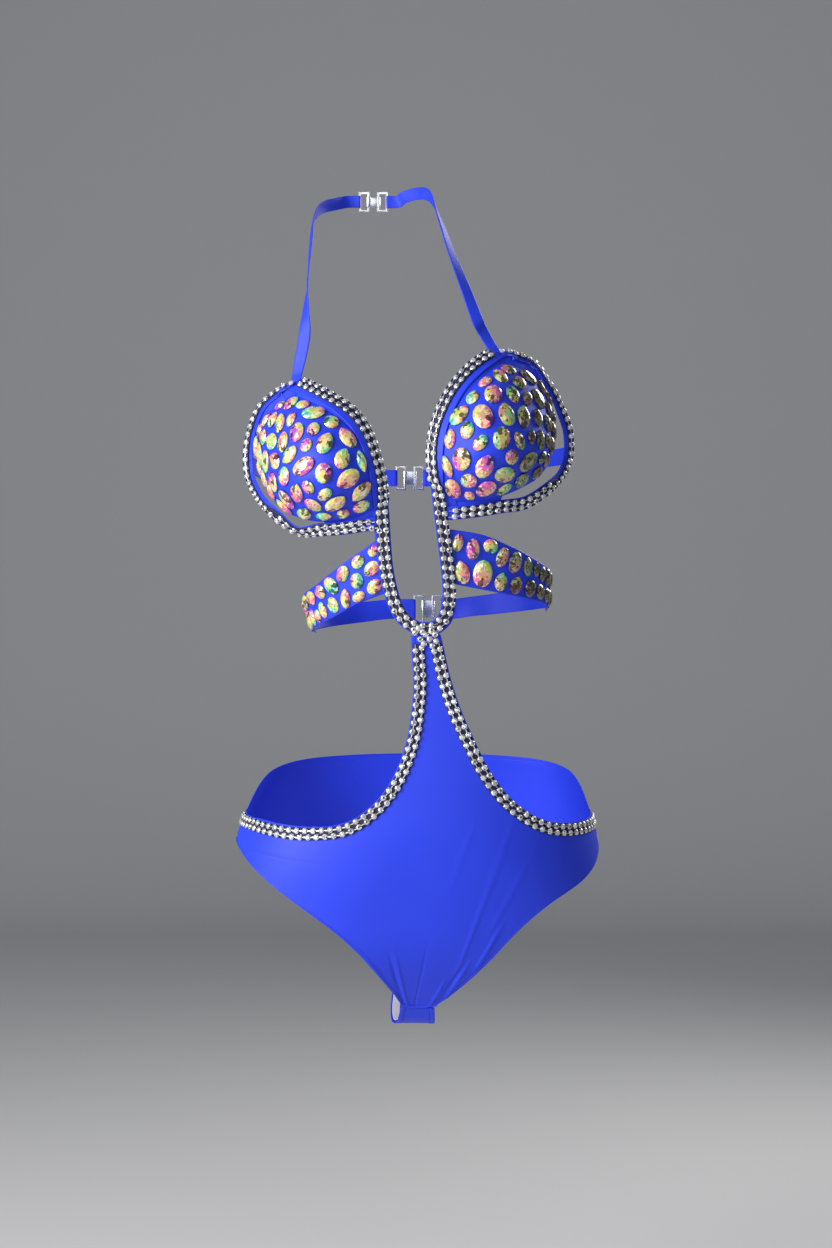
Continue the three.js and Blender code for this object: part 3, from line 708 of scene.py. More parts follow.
def strewn(surface, spanU, spanV, count, seed):
    dice = np.random.default_rng(seed)
    many = scatter["samples"]
    u, v = np.meshgrid(np.linspace(*spanU, many), np.linspace(*spanV, many), indexing="ij")
    u, v = u.ravel(), v.ravel()
    u = np.clip(u + dice.uniform(-0.4, 0.4, u.size) * (spanU[1] - spanU[0]) / many, *spanU)
    v = np.clip(v + dice.uniform(-0.4, 0.4, v.size) * (spanV[1] - spanV[0]) / many, *spanV)
    places = surface.plain(u, v)
    grid = places.reshape(many, many, 3)
    across = np.gradient(grid, axis=0)
    up = np.gradient(grid, axis=1)
    weight = np.linalg.norm(np.cross(across, up), axis=-1).ravel()
    centres = places[dice.choice(places.shape[0], count, replace=False, p=weight / weight.sum())]
    share = np.sqrt(weight.sum() / count / math.pi)
    grow = share * (np.array(scatter["sizes"])[dice.integers(0, 3, count)] - 1) * 0.6
    lean = dice.normal(0, scatter["turn"], count)
    outs = surface.normal(u, v)

    def stretchedBy(points):
        nearest = np.linalg.norm(places[:, None] - centres[None], axis=2).argmin(axis=0)
        along = np.stack([np.sin(lean), np.zeros(count), np.cos(lean)], axis=1)
        out = outs[nearest]
        along = unit(along - out * (along * out).sum(axis=1, keepdims=True))
        away = points[:, None] - centres[None]
        onAxis = (away * along[None]).sum(axis=2)
        length = (away ** 2).sum(axis=2)
        k = scatter["stretch"]
        return np.sqrt(np.maximum(k * (length - onAxis ** 2) + onAxis ** 2 / k, 0)) - grow

    for _ in range(scatter["rounds"]):
        owner = stretchedBy(places).argmin(axis=1)
        for i in range(count):
            mine = owner == i
            if mine.any():
                centres[i] = (places[mine] * weight[mine, None]).sum(axis=0) / weight[mine].sum()
    edge = np.concatenate([grid[0], grid[-1], grid[:, 0], grid[:, -1]])
    stones = []
    for i in range(count):
        mine = owner == i
        if mine.sum() < 6:
            continue
        nearest = np.linalg.norm(places - centres[i], axis=1).argmin()
        place = places[nearest]
        normal = surface.normal(u[nearest:nearest + 1], v[nearest:nearest + 1])[0]
        flat = basis(place, (1, 0, 0), normal)
        local = (places[mine] - place) @ np.array(flat.to_3x3())
        spread = np.cov(local[:, :2].T, aweights=weight[mine])
        sizes, axes = np.linalg.eigh(spread)
        short, long = 2 * np.sqrt(np.maximum(sizes, 1e-9))
        turn = math.atan2(-axes[0, 1], axes[1, 1]) + dice.normal(0, scatter["lean"])
        stretch = long / short
        kind = "marquise" if stretch > 1.75 else dice.choice(["oval", "oval", "pear"])
        if kind == "marquise":
            short, long = short * 0.95, long * 1.12
        elif kind == "pear":
            short, long = short * 0.98, long * 1.06
        else:
            long = max(long, short * 1.12)
        others = np.arange(count) != i
        shrink = 1.12
        while shrink > 0.4:
            wide, tall = 2 * short * shrink, 2 * long * shrink
            high = min(3.3, 1.7 + 0.09 * tall / mm) * mm
            matrix = basis(place, (1, 0, 0), normal, turn, (wide / 2, tall / 2, high))
            rim = rimOf(matrix, kind)
            clear = np.linalg.norm(edge[:, None] - rim[None], axis=2).min()
            apart = stretchedBy(rim)
            if clear > 0.5 * mm and (apart[:, others].min(axis=1) - apart[:, i]).min() > scatter["gap"]:
                break
            shrink *= 0.96
        if tall > 6 * mm:
            stones.append((kind, matrix, place, normal, (wide, tall, high)))
    return stones


def crystalPiece(name, surface, spanU, spanV, count, node, seed, paintedShade=None):
    dice = random.Random(seed * 7 + 1)
    stones = strewn(surface, spanU, spanV, count, seed)
    shape = bmesh.new()
    tint = shape.loops.layers.float_color.new("tint")
    for kind, matrix, place, normal, size in stones:
        sunk = Matrix.Translation(Vector(normal) * 0.35 * mm) @ matrix
        faces = placed(shape, cutStones[kind], sunk)
        swing = dice.gauss(0.15, 1.0)
        toward = Vector((math.cos(swing), 0, -math.sin(swing) * 0.8))
        start, spread = dice.uniform(-0.05, 0.25), dice.uniform(0.55, 1.0)
        if dice.random() < 0.3:
            start, spread = dice.uniform(0.6, 1.0), -spread
        # painted shade: for stones on the right this share turns more facets dark and blends every facet towards a
        # dark olive grey
        shadeShare = paintedShade(place) if paintedShade else 0.0
        shades = [dice.uniform(0, 2 * math.pi) for _ in range(dice.choice((1, 2, 3)))]
        across = matrix.to_3x3().inverted()
        for face in faces:
            centre = face.calc_center_median()
            side = (centre - Vector(place)).dot(toward) / (size[1] * 0.5)
            facet = dice.gauss(0, 0.11)
            # painted highlight: about one facet in ten is paled towards white as a glint
            glintShare = 0.55 if dice.random() < 0.1 else 0.0
            local = across @ (centre - Vector(place))
            angle, reach = math.atan2(local.y, local.x), math.hypot(local.x, local.y)
            shaded = reach > 0.25 and any(abs(math.remainder(angle - shade, 2 * math.pi)) < 0.3 for shade in shades)
            dark = 0.15 if shaded or dice.random() < 0.5 * shadeShare else dice.uniform(0.6, 1.0)
            for loop in face.loops:
                spot = (loop.vert.co - Vector(place)).dot(toward) / (size[1] * 0.5)
                t = start + spread * (0.5 + 0.5 * (0.55 * side + 0.45 * spot)) + facet
                colour = rainbowAt(abs(t) if t < 1 else 2 - t) * dark
                colour = colour + (1 - colour) * glintShare
                shadeGrey = np.array((0.11, 0.12, 0.07)) * dark
                colour = colour * (1 - 0.85 * shadeShare) + shadeGrey * 0.85 * shadeShare
                loop[tint] = (*np.clip(colour, 0, 1), 1)
    mesh = bpy.data.meshes.new(name)
    shape.to_mesh(mesh)
    shape.free()
    piece = linked(name, mesh, "leotard", cloths["crystal"], smooth=False)
    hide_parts(node)
    sizes = np.array([stone[4][:2] for stone in stones]) / mm
    print(name, len(stones), "crystals,", *sizes.mean(axis=0).round(1), "mm; from", *sizes.min(axis=0).round(1),
          "to", *sizes.max(axis=0).round(1))
    return stones


# ---- stone chain ----

chain = {"pitch": 7.7 * mm, "setting": 2.55 * mm, "stone": 2.5 * mm, "height": 2.1 * mm}


def settingMesh():
    shape = bmesh.new()
    wide, tall = chain["setting"], 1.15 * mm
    bmesh.ops.create_cone(shape, cap_ends=True, segments=10, radius1=wide * 0.86, radius2=wide, depth=tall,
                          matrix=Matrix.Translation((0, 0, tall / 2)))
    for i in range(4):
        claw = Matrix.Rotation(math.pi / 4 + i * math.pi / 2, 4, "Z")
        claw = claw @ Matrix.Translation((wide * 0.9, 0, tall)) @ Matrix.Rotation(-0.5, 4, "Y")
        bmesh.ops.create_cube(shape, size=1, matrix=claw @ Matrix.Diagonal((0.4 * mm, 0.75 * mm, 1.1 * mm, 1)))
    bar = chain["pitch"] - 2 * wide + 0.4 * mm
    bmesh.ops.create_cube(shape, size=1, matrix=Matrix.Translation((chain["pitch"] / 2, 0, 0.35 * mm))
                          @ Matrix.Diagonal((bar, 0.7 * mm, 0.35 * mm, 1)))
    mesh = bpy.data.meshes.new("setting")
    shape.to_mesh(mesh)
    shape.free()
    return mesh


settingShape = settingMesh()
roundStone = steppedStone(10, [(1.0, 0.12, False), (0.74, 0.66, True), (0.42, 1.0, True)], "round_cut")


def pacedOut(points, normals, pitch, slack=0.5):
    along = np.concatenate([[0], np.cumsum(runs(points))])
    count = max(2, int((along[-1] - slack * pitch) / pitch) + 1)
    begin = (along[-1] - (count - 1) * pitch) / 2
    at = begin + pitch * np.arange(count)
    spots = np.stack([np.interp(at, along, points[:, k]) for k in range(3)], axis=1)
    outs = unit(np.stack([np.interp(at, along, normals[:, k]) for k in range(3)], axis=1))
    ahead = np.stack([np.interp(at + 0.4 * pitch, along, points[:, k]) for k in range(3)], axis=1)
    behind = np.stack([np.interp(at - 0.4 * pitch, along, points[:, k]) for k in range(3)], axis=1)
    return spots, unit(ahead - behind), outs


def chainRows(surface, rows, floor):
    found = []
    for v, begin, end in rows:
        u = np.linspace(begin, end, 400)
        points = surface.at(u, np.full_like(u, v), np.full_like(u, -floor))
        found.append(pacedOut(points, surface.normal(u, np.full_like(u, v)), chain["pitch"]))
    return found


def chainPiece(name, rows, node, seed):
    dice = random.Random(seed)
    metal, glass = bmesh.new(), bmesh.new()
    tint = glass.loops.layers.float_color.new("tint")
    count = 0
    for spots, ways, outs in rows:
        for spot, way, out in zip(spots, ways, outs):
            turn = dice.gauss(0, 0.1)
            placed(metal, settingShape, basis(spot, way, out, turn * 0.3))
            size = (chain["stone"], chain["stone"], chain["height"] - 1.0 * mm)
            faces = placed(glass, roundStone, basis(spot + out * 1.05 * mm, way, out, turn, size))
            for face in faces:
                bright = dice.uniform(0.45, 1.0) if dice.random() > 0.2 else 0.12
                warm = dice.uniform(-0.05, 0.05)
                colour = (bright * (0.93 + warm), bright * 0.93, bright * (0.95 - warm), 1)
                for loop in face.loops:
                    loop[tint] = colour
            count += 1
    for part, shape, cloth in ((name, metal, "setting"), (name + "_stones", glass, "stone")):
        mesh = bpy.data.meshes.new(part)
        shape.to_mesh(mesh)
        shape.free()
        piece = linked(part, mesh, "leotard", cloths[cloth], smooth=False)
        if cloth == "setting" and node:
            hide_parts(node)
    print(name, count, "stones")


# ---- stitches and seams ----

stitch = {"pitch": 2.9 * mm, "length": 2.1 * mm, "thick": 0.5 * mm}


def stitchMesh():
    shape = bmesh.new()
    bmesh.ops.create_uvsphere(shape, u_segments=6, v_segments=5, radius=0.5)
    mesh = bpy.data.meshes.new("stitch")
    shape.to_mesh(mesh)
    shape.free()
    return mesh


stitchShape = stitchMesh()


def edgeRun(surface, hemAxis, low, distance, span, lift, count=200):
    fixed = np.linspace(*span, count)
    probe = np.linspace(0, 1, 41)
    shares = []
    for place in fixed:
        spots = np.full_like(probe, place)
        line = surface.plain(probe, spots) if hemAxis == "u" else surface.plain(spots, probe)
        along = np.concatenate([[0], np.cumsum(runs(line))])
        shares.append(np.interp(distance if low else along[-1] - distance, along, probe))
    shares = np.array(shares)
    u, v = (shares, fixed) if hemAxis == "u" else (fixed, shares)
    return surface.at(u, v, np.full(count, lift)), surface.normal(u, v)


def stitchPiece(name, lines, body, pitch=None):
    shape = bmesh.new()
    size = (stitch["length"], stitch["thick"], stitch["thick"])
    for points, normals in lines:
        spots, ways, outs = pacedOut(points, normals, pitch or stitch["pitch"])
        for spot, way, out in zip(spots, ways, outs):
            placed(shape, stitchShape, basis(spot, way, out, 0.0, size))
    mesh = bpy.data.meshes.new(name)
    shape.to_mesh(mesh)
    shape.free()
    piece = linked(name, mesh, body, cloths["thread"])
    return piece


def seamPiece(name, path, normals, body, width=3.2 * mm, rise=0.9 * mm):
    along = unit(np.gradient(path, axis=0))
    sideways = unit(np.cross(normals, along))
    rows = []
    for share, height in ((-1, 0.1), (-0.55, 0.75), (0, 1), (0.55, 0.75), (1, 0.1)):
        rows.append(path + sideways * share * width / 2 + normals * (height * rise))
    surface = Surface(np.stack(rows, axis=1))
    surface.side = 1 if float((surface.normal(np.array([0.5]), np.array([0.5]))[0]
                               * normals[len(normals) // 2]).sum()) > 0 else -1
    return clothPiece(name, surface, (max(12, len(path)), 10), body, cloths["blue"], thickness=0.5 * mm,
                      hemmed=False, held=None)


# ---- brief ----

creases = [  # where each fold starts and ends as (x, z), how wide and how deep
    {"from": (-0.019, 0.068), "to": (-0.008, 0.018), "width": 1.5 * mm, "depth": -1.3 * mm},
    {"from": (-0.015, 0.072), "to": (-0.004, 0.018), "width": 1.3 * mm, "depth": 0.7 * mm},
    {"from": (0.0135, 0.080), "to": (0.002, 0.020), "width": 0.9 * mm, "depth": -0.5 * mm},
    {"from": (0.028, 0.044), "to": (0.016, 0.020), "width": 1.4 * mm, "depth": 1.0 * mm},
    {"from": (0.049, 0.062), "to": (0.029, 0.027), "width": 1.5 * mm, "depth": 1.2 * mm},
    {"from": (0.044, 0.060), "to": (0.025, 0.027), "width": 1.3 * mm, "depth": -0.8 * mm},
    {"from": (0.077, 0.096), "to": (0.055, 0.056), "width": 1.6 * mm, "depth": 1.0 * mm},
    {"from": (0.092, 0.200), "to": (0.037, 0.050), "width": 1.8 * mm, "depth": 0.55 * mm},
    {"from": (0.052, 0.180), "to": (0.033, 0.128), "width": 1.6 * mm, "depth": 0.4 * mm},
    {"from": (0.110, 0.170), "to": (0.066, 0.088), "width": 2.2 * mm, "depth": 0.35 * mm},
    {"from": (-0.050, 0.078), "to": (-0.028, 0.052), "width": 1.6 * mm, "depth": 0.5 * mm},
    {"from": (-0.038, 0.064), "to": (-0.018, 0.036), "width": 1.5 * mm, "depth": 0.5 * mm},
]


def creaseLift(base, u, v):
    total = np.zeros(base.shape[:2])
    place = base[..., [0, 2]]
    for crease in creases:
        start, end = np.array(crease["from"]), np.array(crease["to"])
        way = end - start
        t = ((place - start) @ way) / (way @ way)
        away = np.linalg.norm(place - start - np.clip(t, 0, 1)[..., None] * way, axis=-1)
        fade = np.clip(t * 2.2 + 0.15, 0, 1) * np.clip((1.15 - t) * 5, 0, 1)
        total += crease["depth"] * np.exp(-(away / crease["width"]) ** 2) * fade
    return total * (base[..., 1] < 0)


def pucker(distance, other):
    near = np.exp(-((distance - hem["stitchAt"]) / (1.6 * mm)) ** 2)
    return 0.09 * mm * np.sin(other * 2 * math.pi * 70) * near


front = nodeSurface("front_panel", 26, (-1, 0, -1))
back = nodeSurface("back_panel", 28, (1, 0, -0.4))
gusset = nodeSurface("gusset", 14, (0, -1, 0))
print("panels read", front.points[0, 0].round(3), back.points[0, 0].round(3), gusset.points[0, 0].round(3))

piece = clothPiece("front_brief", front, (150, 168), "leotard", cloths["blue"], hemAxis="u",
                   lift=creaseLift, edgeLift=pucker)
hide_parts("front_panel")
piece = clothPiece("back_brief", back, (190, 96), "leotard", cloths["blue"], edgeLift=pucker)
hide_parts("back_panel")
piece = clothPiece("gusset_cloth", gusset, (40, 44), "leotard", cloths["blue"])
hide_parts("gusset")
for name, node, cells, count, start, drop in (
        ("brief_lining", "front_lining", (48, 40), 10, (-1, 0, -1), 0.0),
        ("gusset_liner", "gusset_lining", (40, 16), 14, (0, -1, 0), 0.0)):
    piece = clothPiece(name, nodeSurface(node, count, start, 0.6 * mm), cells, "leotard", cloths["lining"],
                       thickness=0.5 * mm, hemmed=False, slot="lining")
    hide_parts(node)
for hand in ("left", "right"):
    tape = nodeSurface(f"{hand}_leg_elastic", 72, (0, -1, 0), 0.6 * mm)
    piece = clothPiece(f"{hand}_leg_band", tape, (220, 10), "leotard", cloths["elastic"],
                       thickness=0.5 * mm, hemmed=False, slot="elastic")
    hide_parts(f"{hand}_leg_elastic")
print("brief made")

# ---- cups ----

# painted shade: 0 left of x = 0.062 m, rising to 1 over 40 mm to the right, for the side away from the window lamp
def rightSideShade(place):
    return float(np.clip((place[0] - 0.062) / 0.04, 0, 1))


cupSurfaces, bandSurfaces, frameSurfaces = {}, {}, {}
for hand, sign in (("left", -1), ("right", 1)):
    cup = nodeSurface(f"{hand}_cup_shell", 12, (-1, 0, -1.5))
    cupSurfaces[hand] = cup
    piece = clothPiece(f"{hand}_cup", cup, (60, 70), "leotard", cloths["blue"], hemmed=False)
    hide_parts(f"{hand}_cup_shell")
    liner = nodeSurface(f"{hand}_cup_lining", 10, (-1, 0, -1.5), 0.6 * mm)
    piece = clothPiece(f"{hand}_cup_liner", liner, (40, 46), "leotard", cloths["lining"],
                       thickness=0.5 * mm, hemmed=False, slot="lining")
    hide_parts(f"{hand}_cup_lining")
    strap = nodeSurface(f"{hand}_cup_frame", 48, (0, 0, 1))
    frameSurfaces[hand] = strap


def softCopy(name, node, body, material, levels=2):
    shape = bmesh.new()
    shape.from_mesh(frame["nodes"][node].data)
    bmesh.ops.remove_doubles(shape, verts=shape.verts, dist=2e-6)
    bmesh.ops.join_triangles(shape, faces=shape.faces, angle_face_threshold=math.pi,
                             angle_shape_threshold=math.pi)
    mesh = bpy.data.meshes.new(name)
    shape.to_mesh(mesh)
    shape.free()
    piece = linked(name, mesh, body, material)
    soft = piece.modifiers.new("soft", "SUBSURF")
    soft.levels = soft.render_levels = levels
    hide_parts(node)
    return piece


for hand in ("left", "right"):
    piece = softCopy(f"{hand}_cup_pad", f"{hand}_cup_foam", "leotard", cloths["foam"])
print("cups made")


# ---- frames, yoke, underbust bands ----

strapEdge = {"roll": 1.0 * mm, "deep": 0.45 * mm, "stitchAt": 2.0 * mm, "dent": 0.15 * mm}


def strapLift(distance, other):
    near = np.clip(1 - distance / strapEdge["roll"], 0, 1)
    dent = np.exp(-((distance - strapEdge["stitchAt"]) / (0.35 * mm)) ** 2)
    return -strapEdge["deep"] * (1 - np.sqrt(1 - near ** 2)) - strapEdge["dent"] * dent


def strapPiece(name, surface, cells, body, node, **more):
    piece = clothPiece(name, surface, cells, body, cloths["blue"], hemmed=False, edgeLift=strapLift, **more)
    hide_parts(node)
    return piece


yoke = nodeSurface("plunge_yoke", 72, (-1, 0, 2))
strapPiece("yoke_strip", yoke, (300, 22), "leotard", "plunge_yoke")
for hand in ("left", "right"):
    strapPiece(f"{hand}_cup_rim", frameSurfaces[hand], (150, 16), "leotard", f"{hand}_cup_frame")
    band = nodeSurface(f"{hand}_underbust_band", 16, (-1, 0, -1) if hand == "left" else (-1, 0, -1.2))
    bandSurfaces[hand] = band
    strapPiece(f"{hand}_band", band, (90, 40), "leotard", f"{hand}_underbust_band")
print("frames, yoke and bands made", bandSurfaces["left"].points[0, 0].round(3),
      bandSurfaces["right"].points[0, 0].round(3))

crystalPiece("left_cup_stones", cupSurfaces["left"], (0.05, 0.985), (0.02, 0.985), 45, "left_cup_crystals", 11)
# the right cup and right band stones get painted shade towards their right-hand side
crystalPiece("right_cup_stones", cupSurfaces["right"], (0.015, 0.95), (0.02, 0.985), 45, "right_cup_crystals",
             23, paintedShade=rightSideShade)
crystalPiece("left_band_stones", bandSurfaces["left"], (0.01, 0.94), (0.02, 0.98), 21, "left_band_crystals", 31)
crystalPiece("right_band_stones", bandSurfaces["right"], (0.06, 0.99), (0.02, 0.98), 21, "right_band_crystals",
             47, paintedShade=rightSideShade)

# ---- joins between cups, frames and yoke ----

def nearestOn(surface, v, points, span=(0, 1)):
    u = np.linspace(*span, 500)
    line = surface.plain(u, np.full_like(u, v))
    return u[np.linalg.norm(line[None] - points[:, None], axis=2).argmin(axis=1)]


def ruled(first, last, cells, bulge=0.0):
    t = np.linspace(0, 1, cells + 1)
    rows = first[None] * (1 - t[:, None, None]) + last[None] * t[:, None, None]
    surface = Surface(rows)
    surface.side = facing(surface)
    u, v = np.meshgrid(t, np.linspace(0, 1, first.shape[0]), indexing="ij")
    side = surface.side
    surface = Surface(rows + surface.normal(u, v) * (bulge * np.sin(math.pi * t))[:, None, None])
    surface.side = side
    return surface


def facing(surface):
    surface.side = 1
    half = np.array([0.5])
    place, out = surface.plain(half, half)[0], surface.normal(half, half)[0]
    return 1 if out.dot(place - np.array((0, 0.02, place[2]))) > 0 else -1


def joinPiece(name, surface, cells, sheet, edgeLift=None):
    sewn(clothPiece(name, surface, cells, "leotard", cloths["blue"], thickness=0.6 * mm, hemmed=False,
                    edgeLift=edgeLift, held=None), sheet)


for hand in ("left", "right"):
    cup, strap = cupSurfaces[hand], frameSurfaces[hand]
    inner, outer, tipU = (0.985, 0.02, 0.0) if hand == "left" else (0.015, 0.98, 1.0)
    two = np.array([0.0, 1.0])
    first = strap.at(two * 0 + 0.012, two, two * 0 + 0.45 * mm)
    last = yoke.at(two * 0 + tipU, np.array([0.42, 0.98]), two * 0 + 0.5 * mm)
    joinPiece(f"{hand}_apex_join", ruled(first, last, 8, 2.2 * mm), (20, 10), f"{hand}_cup_rim", strapLift)
    ends = strap.plain(two * 0 + 1, two)
    spots = nearestOn(yoke, 0.9, ends + (ends - strap.plain(two * 0 + 0.95, two)) * 0.6)
    first = strap.at(two * 0 + 0.985, two, two * 0 + 0.4 * mm)
    last = yoke.at(spots, two * 0 + 0.86, two * 0 + 0.4 * mm)
    joinPiece(f"{hand}_root_join", ruled(first, last, 8, 0.4 * mm), (20, 10), f"{hand}_cup_rim", strapLift)
    v = np.linspace(0.0, 1.0, 30)
    nearEdge = cup.at(v * 0 + inner, v, v * 0 - 0.7 * mm)
    spots = nearestOn(yoke, 1.0, nearEdge)
    farEdge = yoke.at(spots, v * 0 + 0.9, v * 0 - 1.0 * mm)
    lap = Surface(np.stack([nearEdge, (nearEdge + farEdge) / 2, farEdge], axis=1))
    lap.side = facing(lap)
    joinPiece(f"{hand}_cup_lap", lap, (60, 6), f"{hand}_cup")
    v = np.linspace(0.64 if hand == "left" else 0.78, 1.0, 16)
    nearEdge = cup.at(v * 0 + outer, v, v * 0 - 0.7 * mm)
    spots = nearestOn(strap, 1.0, nearEdge, (0, 0.6))
    farEdge = strap.at(spots, v * 0 + 0.9, v * 0 - 1.0 * mm)
    lap = Surface(np.stack([nearEdge, (nearEdge + farEdge) / 2, farEdge], axis=1))
    lap.side = facing(lap)
    joinPiece(f"{hand}_side_lap", lap, (40, 6), f"{hand}_cup")
    u = np.linspace(0.42, 1.0, 24) if hand == "left" else np.linspace(0.0, 0.6, 24)
    nearEdge = cup.at(u, u * 0 + 0.015, u * 0 - 0.7 * mm)
    spots = nearestOn(strap, 1.0, nearEdge, (0.6, 1))
    farEdge = strap.at(spots, u * 0 + 0.9, u * 0 - 1.0 * mm)
    lap = Surface(np.stack([nearEdge, (nearEdge + farEdge) / 2, farEdge], axis=1))
    lap.side = facing(lap)
    joinPiece(f"{hand}_base_lap", lap, (50, 6), f"{hand}_cup")
    corner = np.array([inner, inner + (-0.09 if hand == "left" else 0.09)])
    corners = cup.at(corner, two * 0 + 0.03, two * 0 - 0.7 * mm)
    stub = strap.at(two[1:], two[:1] + 0.9, two[:1] - 1.0 * mm)
    ends = np.concatenate([stub, corners[:1]])
    reach = yoke.at(nearestOn(yoke, 1.0, ends), two * 0 + 0.9, two * 0 - 1.0 * mm)
    joinPiece(f"{hand}_corner_lap", ruled(np.concatenate([stub, corners[1:]]), reach, 4), (12, 8),
              f"{hand}_cup")
    first = cup.at(two, two * 0 + 0.98, two * 0 - 0.7 * mm)
    last = np.concatenate([strap.at(two[:1], two[:1] + 0.55, two[:1] - 1.0 * mm),
                           yoke.at(two[:1] + tipU, two[:1] + 0.6, two[:1] - 1.0 * mm)])
    joinPiece(f"{hand}_crown_lap", ruled(first, last if hand == "left" else last[::-1], 4), (12, 8),
              f"{hand}_cup")
print("joins made")

# ---- straps ----

for hand in ("left", "right"):
    strapPiece(f"{hand}_rear_strap", nodeSurface(f"{hand}_back_strap", 22, (0, -1, 0)), (70, 18), "leotard",
               f"{hand}_back_strap")
    strapPiece(f"{hand}_waist_band", nodeSurface(f"{hand}_waist_strap", 20, (0, -1, 0)), (70, 22), "leotard",
               f"{hand}_waist_strap")
neck = (-0.035, 0.0)
hinge = next(j for j in frame["joints"] if j["name"] == "halter_fold")
hingePlace, hingeAxis = Vector(hinge["pos_m"]), Vector(hinge["axis"]).normalized()
for hand in ("left", "right"):
    count = 44 if hand == "left" else 40
    tab = nodeSurface(f"{hand}_halter_tab", 5, (0, 0, -1), middle=neck)
    strap = nodeSurface(f"{hand}_halter_strap", count, (0, -1, -0.6), middle=neck)
    low, high = tab.points, strap.points
    gap = np.linalg.norm(low[-1, 0] - high[0, 0]), np.linalg.norm(low[-1, 0] - high[0, 1])
    if gap[1] < gap[0]:
        low = low[:, ::-1]
    whole = Surface(np.concatenate([low[:-1], high[1:]]))
    whole.side = strap.side
    piece = clothPiece(f"{hand}_halter", whole, (150, 14), None, cloths["blue"], hemmed=False,
                       edgeLift=strapLift, held=None)
    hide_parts(f"{hand}_halter_tab", f"{hand}_halter_strap")
    root = Vector(high[0].mean(axis=0))
    way = (Vector(high[3].mean(axis=0)) - root).normalized()
    root - way * 4 * mm
    root + way * 9 * mm
    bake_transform(piece)
    length = float(runs(whole.points.mean(axis=1)).sum())
    cuts[f"{hand}_halter"] = {"piece": piece, "flat": (0.011, length), "held": "hung", "area": None}
print("straps made")

# ---- chains ----

yokeChain = nodeSurface("plunge_chain", 72, (-1, 0, 2), 2.2 * mm)
hips = {hand: nodeSurface(f"{hand}_hip_chain", 34, (-1, 0, 0) if hand == "left" else (1, 0, 0), 2.2 * mm)
        for hand in ("left", "right")}
rims = {hand: nodeSurface(f"{hand}_cup_chain", 48, (0, 0, 1), 2.2 * mm) for hand in ("left", "right")}
print("chain starts", yokeChain.points[0, 0].round(3), hips["left"].points[0, 0].round(3),
      hips["right"].points[0, 0].round(3), rims["left"].points[0, 0].round(3), rims["right"].points[0, 0].round(3))
floor = 2.2 * mm


def tapePiece(name, surface, sheet, spanU=(0, 1), spanV=(0.03, 0.97), cells=(200, 6)):
    strip = trimmed(surface, spanU, spanV, (cells[0] // 3, 2))
    sewn(clothPiece(name, strip, cells, "leotard", cloths["tape"], thickness=0.35 * mm, hemmed=False,
                    drop=floor + 0.1 * mm, slot="shell", held=None), sheet)


chainPiece("yoke_chain", chainRows(yokeChain, [(0.25, 0, 1), (0.75, 0, 1)], floor), "plunge_chain", 101)
tapePiece("yoke_tape", yokeChain, "yoke_strip", cells=(420, 6))
for hand in ("left", "right"):
    chainPiece(f"{hand}_hip_trim", chainRows(hips[hand], [(0.25, 0, 1), (0.75, 0, 1)], floor),
               f"{hand}_hip_chain", 110 + len(hand))
    tapePiece(f"{hand}_hip_tape", hips[hand], "front_brief")
    rim = rims[hand]
    cupMiddle = cupSurfaces[hand].plain(np.array([0.5]), np.array([0.5]))[0]
    ends = rim.plain(np.array([0.3, 0.3]), np.array([0.0, 1.0]))
    outer = int(np.linalg.norm(ends[1] - cupMiddle) > np.linalg.norm(ends[0] - cupMiddle))
    u = np.linspace(0.0, 1.0, 400)
    wide = np.linalg.norm(rim.plain(u, u * 0) - rim.plain(u, u * 0 + 1), axis=-1)
    rows = []
    tipU = 0.0 if hand == "left" else 1.0
    tip = yokeChain.at(np.array([tipU]), np.array([0.75]), np.array([-floor]))[0]
    tipOut = yokeChain.normal(np.array([tipU]), np.array([0.75]))[0]
    for distance, begin in ((2.8 * mm, 0.0), (7.8 * mm, 0.63)):
        uu = np.linspace(begin, 1.0, 400)
        share = distance / np.interp(uu, u, wide)
        vv = 1 - share if outer else share
        points = rim.at(uu, vv, np.full_like(uu, -floor))
        outs = rim.normal(uu, vv)
        if begin == 0:
            t = np.linspace(0.12, 1, 20, endpoint=False)[:, None]
            bulge = 2.6 * mm * np.sin(math.pi * t)
            points = np.concatenate([tip * (1 - t) + points[:1] * t + bulge * (tipOut + outs[0]) / 2, points])
            outs = np.concatenate([unit(tipOut * (1 - t) + outs[:1] * t), outs])
        spot = nearestOn(yokeChain, 1.0, points[-1:])
        root = yokeChain.at(spot, np.array([1.0]), np.array([-floor]))
        t = np.linspace(0, 0.9, 20)[1:, None]
        points = np.concatenate([points, points[-1:] * (1 - t) + root * t + 0.5 * mm * outs[-1:]])
        outs = np.concatenate([outs, np.repeat(outs[-1:], len(t), axis=0)])
        rows.append(pacedOut(points, outs, chain["pitch"]))
    chainPiece(f"{hand}_rim_trim", rows, f"{hand}_cup_chain", 120 + len(hand))
    tapePiece(f"{hand}_rim_tape", rim, f"{hand}_cup_rim")

